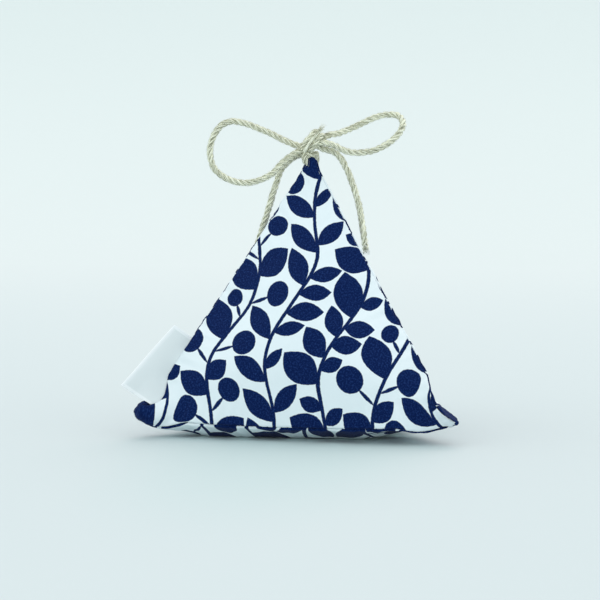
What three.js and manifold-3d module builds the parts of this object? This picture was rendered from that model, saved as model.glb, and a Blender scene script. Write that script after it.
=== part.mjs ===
// Lavender sachet: a stuffed four-sided pouch of printed cotton with a ribbon
// label sewn into one seam and a twine bow threaded through its tip.
// Millimetres, +Z up. The front panel faces -Y and the pouch stands on z = 0.

import * as THREE from 'three';
import { mergeVertices } from 'three/addons/utils/BufferGeometryUtils.js';
import Module from 'manifold-3d';

// Pouch
const EDGE = 115; // cut length of every seam, corner to corner
const CORNER_LIFT = 8.5; // height of the three lower corners above the table
const SEAM_DRAW = 1.5; // how far the filling draws the middle of a seam inward
const BASE_SAG = 3.5; // how far the middle of a lower seam hangs below its corners
const SIDE_CROWN = 8; // swell of a side panel at its centre
const BASE_CROWN = 12; // swell of the base panel before the table flattens it
const BASE_FULLNESS = 1; // the smaller, the more steeply the base swells at its seams
const CLOTH = 0.8; // thickness of the brushed cotton

// Seams
const HEM = 6; // seam allowance turned inside
const BASE_HEM = 4; // the same along the base, trimmed narrower
const HEM_TRIM = 0.4; // slope at which the allowance is trimmed towards a corner
const TIP_TRIM = 16; // length of seam at the tip where the allowance is cut away
const FOLD = 0.9; // a panel's turned edge stops this far short of the seam line
const GROOVE = 1.3; // depth of the groove between two turned edges
const THREAD = 0.5; // diameter of the sewing thread
const THREAD_DEPTH = 0.55; // depth of the thread's centre below the seam line
const THREAD_END = 7; // the thread stops this far short of a lower corner
const GAP = 0.3; // clearance between pieces that touch

// Filling
const FILL_TIP = 19; // the filling stops this far short of a corner
const FILL_GAP = 0.5; // clearance to the cloth, which the facets narrow

// Ribbon label, folded in two and caught in the left seam
const RIBBON = 0.3; // thickness of one layer
const LABEL_STACK = 1; // thickness of the folded label
const LABEL_LENGTH = 28.5; // along the seam
const LABEL_WIDTH = 9.1; // from the seam to the fold, at mid-length
const LABEL_SLANT = 3; // the fold stands out this much farther at its lower end
const LABEL_START = 5.6; // from the left corner to the label's lower end
const LABEL_ROOT = 0.3; // the label starts this far outside the seam line

// Twine
const TWINE = 2.5; // diameter of the three-ply twine
const KNOT_STRAND = 2.2; // diameter where the knot pulls it tight
const KNOT_HEIGHT = 3.9; // centre of the wrap, up and down from the knot's axis
const KNOT_DEPTH = 2.3; // centre of the wrap, to front and rear of the knot's axis
const KNOT_PITCH = 2.8; // from one turn of the wrap to the next
const KNOT_TURNS = 2;
const KNOT_TILT = (30 * Math.PI) / 180; // lean of the wrap to the right
const WRAP_SHIFT = 0.4; // from the knot's centre back across to the wrap's
const WRAP_RISE = 0.9; // from the knot's centre up to the wrap's
const KNOT_RISE = 2.8; // from the seams' meeting point up to the knot's centre
const KNOT_SHIFT = 0.8; // from the seams' meeting point across to the knot's centre

// Mesh counts
const PANEL_STEPS = 16; // grid steps along each side of a panel
const TUBE_DIVISIONS = 4; // half the number of sides of a twine
const WRAP_DIVISIONS = 3; // half the number of sides of the wrap and of a thread
const THREAD_STEPS = 20;
const WRAP_STEPS = 24; // steps in one turn of the wrap

// Materials
const COTTON = { color: 0xe6edf2, roughness: 0.9, metalness: 0 };
const LAVENDER = { color: 0x6b6488, roughness: 1, metalness: 0 };
const NAVY_THREAD = { color: 0x1b2a57, roughness: 0.7, metalness: 0 };
const RIBBON_WHITE = { color: 0xe4ecec, roughness: 0.55, metalness: 0 };
const JUTE = { color: 0xc0c4a4, roughness: 0.95, metalness: 0 };

const wasm = await Module();
wasm.setup();

// Corners of the pouch, where the seams meet
const HEIGHT = EDGE * Math.sqrt(2 / 3);
const PANEL_HEIGHT = (EDGE * Math.sqrt(3)) / 2;
const BASE_INRADIUS = EDGE / (2 * Math.sqrt(3));
const corners = {
  left: new THREE.Vector3(-EDGE / 2, -BASE_INRADIUS, CORNER_LIFT),
  right: new THREE.Vector3(EDGE / 2, -BASE_INRADIUS, CORNER_LIFT),
  rear: new THREE.Vector3(0, 2 * BASE_INRADIUS, CORNER_LIFT),
  tip: new THREE.Vector3(0, 0, CORNER_LIFT + HEIGHT),
};
const heart = new THREE.Vector3(0, 0, CORNER_LIFT + HEIGHT / 4);

// Each panel's corners run anticlockwise as seen from outside
const panels = {
  front_panel: ['left', 'right', 'tip'],
  right_panel: ['right', 'rear', 'tip'],
  left_panel: ['rear', 'left', 'tip'],
  base_panel: ['left', 'rear', 'right'],
};
const seams = {
  thread_front_left: ['left', 'tip'],
  thread_front_right: ['right', 'tip'],
  thread_rear: ['rear', 'tip'],
  thread_base_front: ['left', 'right'],
  thread_base_right: ['right', 'rear'],
  thread_base_left: ['rear', 'left'],
};

const sachet = new THREE.Group();

function addMesh(name, geometry, finish, parent = sachet) {
  const mesh = new THREE.Mesh(geometry, new THREE.MeshStandardMaterial(finish));
  mesh.name = name;
  parent.add(mesh);
  return mesh;
}

// Seam curves and panel surfaces

// Displacement of a seam's middle from the straight line between its corners
function seamDraw(from, to) {
  const middle = corners[from].clone().lerp(corners[to], 0.5);
  if (from === 'tip' || to === 'tip') {
    return heart.clone().sub(middle).setLength(SEAM_DRAW);
  }
  const draw = new THREE.Vector3(-middle.x, -middle.y, 0).setLength(SEAM_DRAW);
  draw.z = -BASE_SAG;
  return draw;
}

function seamPoint(from, to, t) {
  const point = corners[from].clone().lerp(corners[to], t);
  return point.addScaledVector(seamDraw(from, to), 4 * t * (1 - t));
}

function panelNormal(name) {
  const [a, b, c] = panels[name].map((corner) => corners[corner]);
  return b.clone().sub(a).cross(c.clone().sub(a)).normalize();
}

// Outer surface of a panel at the weights of its three corners: bent seams,
// a domed crown between them, and the table under the base
function panelPoint(name, weights) {
  const [a, b, c] = panels[name];
  const [wa, wb, wc] = weights;
  const rise = 27 * wa * wb * wc;
  const fullness = (rise * (1 + BASE_FULLNESS)) / (rise + BASE_FULLNESS);
  const crown = name === 'base_panel' ? BASE_CROWN * fullness : SIDE_CROWN * rise;
  const point = new THREE.Vector3()
    .addScaledVector(corners[a], wa)
    .addScaledVector(corners[b], wb)
    .addScaledVector(corners[c], wc)
    .addScaledVector(seamDraw(a, b), 4 * wa * wb)
    .addScaledVector(seamDraw(b, c), 4 * wb * wc)
    .addScaledVector(seamDraw(c, a), 4 * wc * wa)
    .addScaledVector(panelNormal(name), crown);
  point.z = Math.max(point.z, 0);
  return point;
}

// Weights drawn towards the panel's centre by a share of the way
function drawnIn(weights, share) {
  return weights.map((weight) => weight + share * (1 / 3 - weight));
}

const FOLD_SHARE = FOLD / (PANEL_HEIGHT / 3);

// A panel's turned edge along a seam, at t from one corner to the other
function rimPoint(name, from, to, t) {
  const share = { [from]: 1 - t, [to]: t };
  const weights = panels[name].map((corner) => share[corner] ?? 0);
  return panelPoint(name, drawnIn(weights, FOLD_SHARE));
}

function neighbourAt(name, from, to) {
  const shares = ([other, list]) => other !== name && list.includes(from) && list.includes(to);
  return Object.entries(panels).find(shares)[0];
}

// Directions at a seam: into the pouch between the two panels, and aside
// towards the named panel, with the angle from the first to that panel
function seamFrame(name, from, to, t) {
  const ridge = seamPoint(from, to, t);
  const nearby = 0.01;
  const along = seamPoint(from, to, t + nearby).sub(seamPoint(from, to, t - nearby)).normalize();
  const across = (panel) => {
    const way = rimPoint(panel, from, to, t).sub(ridge);
    return way.addScaledVector(along, -way.dot(along)).normalize();
  };
  const own = across(name);
  const other = across(neighbourAt(name, from, to));
  const inward = own.clone().add(other).normalize();
  const aside = own.clone().sub(other).normalize();
  return { ridge, along, inward, aside, angle: own.angleTo(inward) };
}

function hemDepth(from, to, t) {
  const lengthFrom = t * EDGE - (from === 'tip' ? TIP_TRIM : 0);
  const lengthTo = (1 - t) * EDGE - (to === 'tip' ? TIP_TRIM : 0);
  const full = from === 'tip' || to === 'tip' ? HEM : BASE_HEM;
  return Math.min(full, HEM_TRIM * Math.min(lengthFrom, lengthTo));
}

// Section of a panel's turned edge: rim, groove, end of the allowance outside
// and inside, and the fold where the allowance meets the panel's inner face
function rimSection(name, from, to, t) {
  const { ridge, inward, aside, angle } = seamFrame(name, from, to, t);
  const outside = GAP / 2;
  const inside = outside + CLOTH;
  const run = (outside + CLOTH * (1 + Math.cos(angle))) / Math.sin(angle);
  const foldDepth = CLOTH * Math.sin(angle) + run * Math.cos(angle);
  const hem = Math.max(foldDepth + GAP, hemDepth(from, to, t));
  const place = (depth, offset) =>
    ridge.clone().addScaledVector(inward, depth).addScaledVector(aside, offset);
  return [
    rimPoint(name, from, to, t),
    place(GROOVE, outside),
    place(hem, outside),
    place(hem, inside),
    place(foldDepth, inside),
  ];
}

// Direction from a corner between the seams that lead to the listed corners
function betweenSeams(corner, others) {
  const way = new THREE.Vector3();
  for (const other of others) {
    if (other !== corner) {
      way.add(seamPoint(corner, other, 1 / PANEL_STEPS).sub(corners[corner]).normalize());
    }
  }
  return way.normalize();
}

// The same section where two turned edges of a panel meet at a corner
function cornerSection(name, corner) {
  const start = corners[corner];
  const axis = betweenSeams(corner, Object.keys(corners));
  const middle = betweenSeams(corner, panels[name]);
  const weights = panels[name].map((other) => (other === corner ? 1 : 0));
  const rim = panelPoint(name, drawnIn(weights, FOLD_SHARE));
  const aside = middle.clone().addScaledVector(axis, -middle.dot(axis)).normalize();
  const slant = axis.angleTo(middle);
  const sector = Math.sin(Math.PI / 3);
  const seamSlant = Math.acos(Math.sqrt(2 / 3));
  const outside = GAP / 2 / sector;
  const inside = (GAP / 2 + CLOTH) / sector;
  const depth = (CLOTH + inside * Math.cos(slant)) / Math.sin(slant);
  const place = (along, offset) =>
    start.clone().addScaledVector(axis, along).addScaledVector(aside, offset);
  const fold = place(depth, inside);
  return [rim, place(GROOVE / Math.sin(seamSlant), outside), place(depth, outside), fold, fold];
}

// Triangles of a grid over a three-cornered patch

const gridKey = (i, j) => `${i},${j}`;

function gridWeights(i, j) {
  return [(PANEL_STEPS - i - j) / PANEL_STEPS, i / PANEL_STEPS, j / PANEL_STEPS];
}

function forGrid(visit) {
  for (let i = 0; i <= PANEL_STEPS; i += 1) {
    for (let j = 0; i + j <= PANEL_STEPS; j += 1) {
      visit(i, j);
    }
  }
}

function gridTriangles(points) {
  const triangles = [];
  forGrid((i, j) => {
    const [here, next, over] = [gridKey(i, j), gridKey(i + 1, j), gridKey(i, j + 1)];
    const far = gridKey(i + 1, j + 1);
    if (i + j < PANEL_STEPS) {
      triangles.push([points[here], points[next], points[over]]);
    }
    if (i + j < PANEL_STEPS - 1) {
      triangles.push([points[next], points[far], points[over]]);
    }
  });
  return triangles;
}

// Grid places along the three sides of a patch, in the order of its corners
function gridSides() {
  const steps = [...Array(PANEL_STEPS + 1).keys()];
  return [
    steps.map((k) => gridKey(k, 0)),
    steps.map((k) => gridKey(PANEL_STEPS - k, k)),
    steps.map((k) => gridKey(0, PANEL_STEPS - k)),
  ];
}

function trianglesToGeometry(triangles) {
  const smallest = 1e-7;
  const solid = triangles.filter(([a, b, c]) => {
    const area = b.clone().sub(a).cross(c.clone().sub(a)).length();
    return area > smallest;
  });
  const geometry = new THREE.BufferGeometry();
  geometry.setFromPoints(solid.flat());
  return mergeVertices(geometry, 1e-5);
}

// Solids for cutting

function toManifold(geometry) {
  const bare = geometry.clone();
  bare.deleteAttribute('normal');
  bare.deleteAttribute('uv');
  const merged = mergeVertices(bare, 1e-5);
  const vertProperties = new Float32Array(merged.attributes.position.array);
  const triVerts = new Uint32Array(merged.index.array);
  return new wasm.Manifold(new wasm.Mesh({ numProp: 3, vertProperties, triVerts }));
}

function toGeometry(manifold) {
  const { vertProperties, triVerts } = manifold.getMesh();
  const geometry = new THREE.BufferGeometry();
  geometry.setAttribute('position', new THREE.BufferAttribute(vertProperties, 3));
  geometry.setIndex(new THREE.BufferAttribute(triVerts, 1));
  return geometry;
}

// A round cord along a curve
function cord(curve, diameter, steps, divisions) {
  const section = new THREE.Shape().absarc(0, 0, diameter / 2, 0, 2 * Math.PI);
  return new THREE.ExtrudeGeometry(section, {
    curveSegments: divisions,
    steps,
    extrudePath: curve,
  });
}

// A smooth curve through the listed places
function route(places) {
  return new THREE.CatmullRomCurve3(places.map((place) => new THREE.Vector3(...place)));
}

// Twine through the tip: down in front, across through the cloth and up behind.
// Its places are measured from the point where the seams meet.
const NECK_ROUTE = [
  [-1.9, -1.8, -1],
  [-1.8, -2.8, -2.6],
  [-1.5, -3.2, -4],
  [-0.9, -2.4, -5.5],
  [-0.3, -0.7, -6.2],
  [0, 1.6, -6.3],
  [0, 4, -5.7],
  [0.4, 5.4, -4.2],
  [0.8, 4.9, -2.3],
  [0.9, 3.6, -0.3],
];
const NECK_STEPS = 20;

function neckCord(diameter) {
  const geometry = cord(route(NECK_ROUTE), diameter, NECK_STEPS, TUBE_DIVISIONS);
  return geometry.translate(...corners.tip.toArray());
}

// Panels: crowned cloth with its allowances turned inside, pierced for the twine

function panelGeometry(name) {
  const outer = {};
  forGrid((i, j) => {
    outer[gridKey(i, j)] = panelPoint(name, drawnIn(gridWeights(i, j), FOLD_SHARE));
  });
  const inner = {};
  forGrid((i, j) => {
    const weights = drawnIn(gridWeights(i, j), FOLD_SHARE);
    inner[gridKey(i, j)] = outer[gridKey(i, j)]
      .clone()
      .addScaledVector(surfaceNormal(name, weights), -CLOTH);
  });
  const triangles = gridTriangles(outer);
  gridSides().forEach((side, index) => {
    const from = panels[name][index];
    const to = panels[name][(index + 1) % 3];
    const sections = side.map((key, k) => {
      if (k === 0) return cornerSection(name, from);
      if (k === PANEL_STEPS) return cornerSection(name, to);
      return rimSection(name, from, to, k / PANEL_STEPS);
    });
    sections.forEach((section, k) => {
      inner[side[k]] = section[section.length - 1];
      if (k === 0) return;
      const before = sections[k - 1];
      for (let row = 1; row < section.length; row += 1) {
        triangles.push([section[row - 1], before[row - 1], before[row]]);
        triangles.push([section[row - 1], before[row], section[row]]);
      }
    });
  });
  for (const [a, b, c] of gridTriangles(inner)) {
    triangles.push([a, c, b]);
  }
  return trianglesToGeometry(triangles);
}

// Outward normal of a panel's outer surface
function surfaceNormal(name, weights) {
  const nearby = 0.004;
  const [wa, wb, wc] = weights;
  const here = panelPoint(name, weights);
  const towardsB = panelPoint(name, [wa - nearby, wb + nearby, wc]).sub(here);
  const towardsC = panelPoint(name, [wa - nearby, wb, wc + nearby]).sub(here);
  return towardsB.cross(towardsC).normalize();
}

const passage = toManifold(neckCord(TWINE + 2 * GAP));
for (const name of Object.keys(panels)) {
  const cloth = toManifold(panelGeometry(name));
  const pierced = name === 'base_panel' ? cloth : cloth.subtract(passage);
  addMesh(name, toGeometry(pierced), COTTON);
}

// Filling: a bevelled body that lies against the panels and clears the allowances

// How far from a seam the filling's rims stay, for the face between them to clear the allowances
function fillReach(from, to) {
  const { angle } = seamFrame('front_panel', from, to, 0.5);
  const cover = (CLOTH + FILL_GAP) * Math.sin(angle);
  return (hemDepth(from, to, 0.5) + GAP - cover) / Math.cos(angle);
}

const FILL_EDGE = Math.max(fillReach('left', 'right'), fillReach('left', 'tip'));
const FILL_EDGE_SHARE = FILL_EDGE / (PANEL_HEIGHT / 3);
const FILL_TIP_SHARE = FILL_TIP / ((2 * PANEL_HEIGHT) / 3);

function fillPoint(name, i, j) {
  const [wa, wb, wc] = gridWeights(i, j);
  const middling = 4 * (wa * wb + wb * wc + wc * wa);
  const share = FILL_TIP_SHARE + (FILL_EDGE_SHARE - FILL_TIP_SHARE) * Math.min(1, middling);
  const weights = drawnIn([wa, wb, wc], share);
  const normal = surfaceNormal(name, weights);
  return panelPoint(name, weights).addScaledVector(normal, -(CLOTH + FILL_GAP));
}

function fillingGeometry() {
  const grids = {};
  const triangles = [];
  for (const name of Object.keys(panels)) {
    grids[name] = {};
    forGrid((i, j) => {
      grids[name][gridKey(i, j)] = fillPoint(name, i, j);
    });
    triangles.push(...gridTriangles(grids[name]));
  }
  const rimOf = (name, from, to) => {
    const index = panels[name].indexOf(from);
    const forward = panels[name][(index + 1) % 3] === to;
    const side = gridSides()[forward ? index : panels[name].indexOf(to)];
    const keys = forward ? side : [...side].reverse();
    return { forward, points: keys.map((key) => grids[name][key]) };
  };
  for (const [from, to] of Object.values(seams)) {
    const names = Object.keys(panels).filter(
      (name) => panels[name].includes(from) && panels[name].includes(to),
    );
    const rims = names.map((name) => rimOf(name, from, to));
    const [ahead, back] = rims[0].forward ? rims : [rims[1], rims[0]];
    for (let k = 1; k <= PANEL_STEPS; k += 1) {
      triangles.push([ahead.points[k], ahead.points[k - 1], back.points[k - 1]]);
      triangles.push([ahead.points[k], back.points[k - 1], back.points[k]]);
    }
  }
  for (const corner of Object.keys(corners)) {
    const ends = Object.keys(panels)
      .filter((name) => panels[name].includes(corner))
      .map((name) => {
        const index = panels[name].indexOf(corner);
        return grids[name][gridSides()[index][0]];
      });
    const normal = ends[1].clone().sub(ends[0]).cross(ends[2].clone().sub(ends[0]));
    const outward = corners[corner].clone().sub(heart);
    triangles.push(normal.dot(outward) > 0 ? ends : [ends[0], ends[2], ends[1]]);
  }
  return trianglesToGeometry(triangles);
}

addMesh('lavender_filling', fillingGeometry(), LAVENDER);

// Sewing threads, one along each seam, in the groove between the turned edges

for (const [name, [from, to]] of Object.entries(seams)) {
  const panel = Object.keys(panels).find(
    (other) => panels[other].includes(from) && panels[other].includes(to),
  );
  const first = THREAD_END / EDGE;
  const last = 1 - (to === 'tip' ? TIP_TRIM : THREAD_END) / EDGE;
  const points = [];
  for (let k = 0; k <= PANEL_STEPS; k += 1) {
    const t = first + ((last - first) * k) / PANEL_STEPS;
    const { ridge, inward } = seamFrame(panel, from, to, t);
    points.push(ridge.addScaledVector(inward, THREAD_DEPTH));
  }
  const curve = new THREE.CatmullRomCurve3(points);
  addMesh(name, cord(curve, THREAD, THREAD_STEPS, WRAP_DIVISIONS), NAVY_THREAD);
}

// Label: a ribbon folded in two, its open edge held in the seam a little askew

function labelGeometry() {
  const outer = LABEL_STACK / 2;
  const inner = outer - RIBBON;
  const bend = LABEL_WIDTH - outer;
  const quarter = Math.PI / 2;
  const section = new THREE.Shape()
    .moveTo(LABEL_ROOT, -outer)
    .lineTo(bend, -outer)
    .absarc(bend, 0, outer, -quarter, quarter)
    .lineTo(LABEL_ROOT, outer)
    .lineTo(LABEL_ROOT, inner)
    .lineTo(bend, inner)
    .absarc(bend, 0, inner, quarter, -quarter, true)
    .lineTo(LABEL_ROOT, -inner)
    .closePath();
  const geometry = new THREE.ExtrudeGeometry(section, {
    depth: LABEL_LENGTH,
    steps: 1,
    curveSegments: 6,
    bevelEnabled: false,
  });
  const places = geometry.attributes.position;
  for (let k = 0; k < places.count; k += 1) {
    const reach = (places.getX(k) - LABEL_ROOT) / (LABEL_WIDTH - LABEL_ROOT);
    const slant = LABEL_SLANT * (0.5 - places.getZ(k) / LABEL_LENGTH);
    places.setX(k, places.getX(k) + slant * reach);
  }
  return geometry;
}

const labelLow = seamPoint('left', 'tip', LABEL_START / EDGE);
const labelHigh = seamPoint('left', 'tip', (LABEL_START + LABEL_LENGTH) / EDGE);
const labelMiddle = (LABEL_START + LABEL_LENGTH / 2) / EDGE;
const labelSeam = seamFrame('front_panel', 'left', 'tip', labelMiddle);
const labelAlong = labelHigh.clone().sub(labelLow).normalize();
const labelOut = labelSeam.inward.clone().negate();
labelOut.addScaledVector(labelAlong, -labelOut.dot(labelAlong)).normalize();
const labelFace = labelAlong.clone().cross(labelOut);
const label = addMesh('side_label', labelGeometry(), RIBBON_WHITE);
label.quaternion.setFromRotationMatrix(
  new THREE.Matrix4().makeBasis(labelOut, labelFace, labelAlong),
);
label.position.copy(labelLow);

// Twine bow: its places are measured from the knot's centre

addMesh('neck_twine', neckCord(TWINE), JUTE);

const bow = new THREE.Group();
bow.position.copy(corners.tip).add(new THREE.Vector3(KNOT_SHIFT, 0, KNOT_RISE));
sachet.add(bow);

// The wrap of the knot, flatter than it is high and leaning to the right
class Wrap extends THREE.Curve {
  getPoint(t, target = new THREE.Vector3()) {
    const turn = 2 * Math.PI * KNOT_TURNS * t;
    const along = KNOT_PITCH * KNOT_TURNS * (t - 0.5);
    const up = -KNOT_HEIGHT * Math.sin(turn);
    return target.set(
      along * Math.cos(KNOT_TILT) + up * Math.sin(KNOT_TILT),
      KNOT_DEPTH * Math.cos(turn),
      up * Math.cos(KNOT_TILT) - along * Math.sin(KNOT_TILT),
    );
  }
}

const wrap = new Wrap();
const wrapSteps = WRAP_STEPS * KNOT_TURNS;
const knot = addMesh('bow_knot', cord(wrap, KNOT_STRAND, wrapSteps, WRAP_DIVISIONS), JUTE, bow);
knot.position.set(-WRAP_SHIFT, 0, WRAP_RISE);

const wrapPoints = wrap.getPoints(wrapSteps);
let leastGap = Infinity;
for (let i = 0; i < wrapPoints.length; i += 1) {
  for (let j = i + WRAP_STEPS / 2; j < wrapPoints.length; j += 1) {
    leastGap = Math.min(leastGap, wrapPoints[i].distanceTo(wrapPoints[j]) - KNOT_STRAND);
  }
}
console.log(`least gap of the knot's wrap to itself: ${leastGap.toFixed(2)} mm`);

const LEFT_LOOP = [
  [-5.3, 1, -0.4],
  [-10.6, 0.4, 1.4],
  [-16.4, -0.4, 4.3],
  [-21.5, -1.2, 6.4],
  [-26, -2.5, 8],
  [-30.2, -4.1, 8.5],
  [-33.6, -5.7, 6.8],
  [-35.9, -6.9, 3.3],
  [-37, -7.9, -0.9],
  [-36.7, -8.6, -5.3],
  [-34.9, -8.8, -9.3],
  [-31.4, -8.6, -12],
  [-27, -8.1, -13.7],
  [-22.7, -7.3, -13.9],
  [-18.4, -6.5, -12.8],
  [-14.3, -5.5, -10.6],
  [-11, -4.4, -6.9],
  [-8.2, -3.2, -4.4],
  [-5.4, -2, -2.6],
];
const RIGHT_LOOP = [
  [4.6, 1.7, 3.2],
  [8.4, 4, 4.1],
  [12.2, 7, 5.8],
  [16.4, 9, 7.9],
  [21, 10.6, 10.1],
  [25.7, 11.1, 11.2],
  [29.8, 10.3, 10.6],
  [31.8, 8, 8.3],
  [31.6, 5.2, 5.3],
  [29.5, 3.1, 2.3],
  [26.3, 1.2, -0.3],
  [22.6, 0.3, -2.1],
  [18.6, 0, -2.9],
  [14.5, -0.1, -3],
  [10.9, -0.4, -2],
  [7.8, -1, -0.4],
  [3.9, -1.4, 0.6],
];
const LEFT_TAIL = [
  [-4, 1.8, -3.4],
  [-6, 1.9, -3.8],
  [-7.9, 1.8, -4.6],
  [-9.9, 1.6, -6.2],
  [-12.4, 1.2, -8.9],
  [-13.7, 0.4, -12.9],
  [-14.9, -0.4, -17],
  [-16, -1.4, -21.4],
  [-17.2, -2.4, -26],
  [-18.6, -2.6, -30.4],
  [-20.1, -2.2, -34.8],
  [-21.6, -1.6, -39],
];
const RIGHT_TAIL = [
  [3.4, 1.1, -1.6],
  [7.2, 1.4, -2.7],
  [9.6, 2, -4.9],
  [11.8, 1.8, -8.6],
  [14, 1.2, -13.7],
  [15.9, 0.2, -18.8],
  [17.4, -0.9, -24.2],
  [18.4, -2, -29.3],
  [19.2, -3, -33.6],
  [20, -4, -37.9],
];
addMesh('left_loop', cord(route(LEFT_LOOP), TWINE, 28, TUBE_DIVISIONS), JUTE, bow);
addMesh('right_loop', cord(route(RIGHT_LOOP), TWINE, 24, TUBE_DIVISIONS), JUTE, bow);
addMesh('left_tail', cord(route(LEFT_TAIL), TWINE, 12, TUBE_DIVISIONS), JUTE, bow);
addMesh('right_tail', cord(route(RIGHT_TAIL), TWINE, 12, TUBE_DIVISIONS), JUTE, bow);

export default sachet;
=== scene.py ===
# %% [markdown]
# # Lavender sachet
# A small stuffed pyramid of brushed cotton. Four equal three-cornered panels are sewn
# together, filled with dried lavender and closed. A white ribbon label is caught in one
# seam, and a length of pale jute twine is threaded through the tip and tied in a bow.
# The CAD model gives every piece its size and place, and this script dresses it.

# %% Frame
import math
import random
from collections import namedtuple
from contextlib import contextmanager

import bpy
import numpy as np
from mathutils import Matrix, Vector


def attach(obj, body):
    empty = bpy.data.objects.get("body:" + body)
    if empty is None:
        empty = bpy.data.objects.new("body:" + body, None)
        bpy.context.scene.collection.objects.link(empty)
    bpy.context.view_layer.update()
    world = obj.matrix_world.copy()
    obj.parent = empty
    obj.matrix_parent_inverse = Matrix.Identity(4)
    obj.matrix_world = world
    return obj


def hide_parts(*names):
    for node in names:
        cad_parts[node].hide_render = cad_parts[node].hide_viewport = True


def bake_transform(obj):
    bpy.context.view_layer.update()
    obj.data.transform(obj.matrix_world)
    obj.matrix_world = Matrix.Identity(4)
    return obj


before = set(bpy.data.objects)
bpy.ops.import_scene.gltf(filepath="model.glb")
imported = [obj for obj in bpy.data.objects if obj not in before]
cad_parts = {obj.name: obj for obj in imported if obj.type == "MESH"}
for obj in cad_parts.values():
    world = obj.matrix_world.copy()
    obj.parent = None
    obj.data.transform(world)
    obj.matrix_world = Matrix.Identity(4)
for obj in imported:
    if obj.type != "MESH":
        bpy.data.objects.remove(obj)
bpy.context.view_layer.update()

MM = 0.001

# %% [markdown]
# ## Camera
# The photograph looks slightly down on the front panel and a little from its right.
# The pouch keeps nearly parallel edges in it, so a long lens from 0.6 m is used.

# %% Camera
CAMERA_AZIMUTH = math.radians(11.3)
CAMERA_ELEVATION = math.radians(4)
CAMERA_DISTANCE = 600 * MM
CAMERA_AIM = Vector((-4.33, 0, 48.07)) * MM
CAMERA_LENS = 97.5


def way_to(azimuth, elevation):
    """The direction of the camera or a lamp, by its turn from the front and its height."""
    return Vector((
        math.sin(azimuth) * math.cos(elevation),
        -math.cos(azimuth) * math.cos(elevation),
        math.sin(elevation),
    ))


towards_camera = way_to(CAMERA_AZIMUTH, CAMERA_ELEVATION)
bpy.ops.object.camera_add(
    location=CAMERA_AIM + towards_camera * CAMERA_DISTANCE,
    rotation=towards_camera.to_track_quat("Z", "Y").to_euler(),
)
camera = bpy.context.object
camera.data.lens = CAMERA_LENS
bpy.context.scene.camera = camera
print("camera at", [round(x, 3) for x in camera.location])

# %% [markdown]
# ## Twine
# The bow is one length of three-ply jute, 2.5 mm thick. Each ply winds round the other two,
# and single fibres stand off the surface. A plain tube with a bump map would lose the
# knobbly outline, so each ply is a tube of its own along a helix round the route.
# The routes are the CAD model's. The bow's are measured from the centre of the knot and lead
# on under its wrap. The neck's is measured from the tip, and its front goes in a little higher.

# %% Routes
TIP = Vector((0, 0, 102.397))
KNOT = TIP + Vector((0.8, 0, 2.8))
NECK_ROUTE = [
    (-1.9, -1.8, -1), (-2.1, -2.6, -2.1), (-2, -2.5, -3.1), (-1.5, -1.5, -4.3), (-0.7, -0.1, -5.4),
    (0, 1.6, -6.3), (0, 4, -5.7), (0.4, 5.4, -4.2), (0.8, 4.9, -2.3), (0.9, 3.6, -0.3),
]
LEFT_LOOP = [
    (-5.3, 1, -0.4), (-10.6, 0.4, 1.4), (-16.4, -0.4, 4.3), (-21.5, -1.2, 6.4), (-26, -2.5, 8),
    (-30.2, -4.1, 8.5), (-33.6, -5.7, 6.8), (-35.9, -6.9, 3.3), (-37, -7.9, -0.9), (-36.7, -8.6, -5.3),
    (-34.9, -8.8, -9.3), (-31.4, -8.6, -12), (-27, -8.1, -13.7), (-22.7, -7.3, -13.9),
    (-18.4, -6.5, -12.8), (-14.3, -5.5, -10.6), (-11, -4.4, -6.9), (-8.2, -3.2, -4.4), (-5.4, -2, -2.6),
]
RIGHT_LOOP = [
    (4.6, 1.7, 3.2), (8.4, 4, 4.1), (12.2, 7, 5.8), (16.4, 9, 7.9), (21, 10.6, 10.1),
    (25.7, 11.1, 11.2), (29.8, 10.3, 10.6), (31.8, 8, 8.3), (31.6, 5.2, 5.3), (29.5, 3.1, 2.3),
    (26.3, 1.2, -0.3), (22.6, 0.3, -2.1), (18.6, 0, -2.9), (14.5, -0.1, -3), (10.9, -0.4, -2),
    (7.8, -1, -0.4), (3.9, -1.4, 0.6),
]
LEFT_TAIL = [
    (-4, 1.8, -3.4), (-6, 1.9, -3.8), (-7.9, 1.8, -4.6), (-9.9, 1.6, -6.2), (-12.4, 1.2, -8.9),
    (-13.7, 0.4, -12.9), (-14.9, -0.4, -17), (-16, -1.4, -21.4), (-17.2, -2.4, -26),
    (-18.6, -2.6, -30.4), (-20.1, -2.2, -34.8), (-21.6, -1.6, -39),
]
RIGHT_TAIL = [
    (3.4, 1.1, -1.6), (7.2, 1.4, -2.7), (9.6, 2, -4.9), (11.8, 1.8, -8.6), (14, 1.2, -13.7),
    (15.9, 0.2, -18.8), (17.4, -0.9, -24.2), (18.4, -2, -29.3), (19.2, -3, -33.6), (20, -4, -37.9),
]
print("places:", len(NECK_ROUTE + LEFT_LOOP + RIGHT_LOOP + LEFT_TAIL + RIGHT_TAIL))

# %% [markdown]
# Each route is a smooth curve through its places, with points at an even spacing.

# %% Smooth routes
ROUTE_STEP = 0.4
CURVE_STEPS = 40
TUCK = 0.45


def run_along(points):
    """How far along a line each of its points lies."""
    return np.concatenate([[0], np.cumsum(np.linalg.norm(np.diff(points, axis=0), axis=1))])


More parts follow.
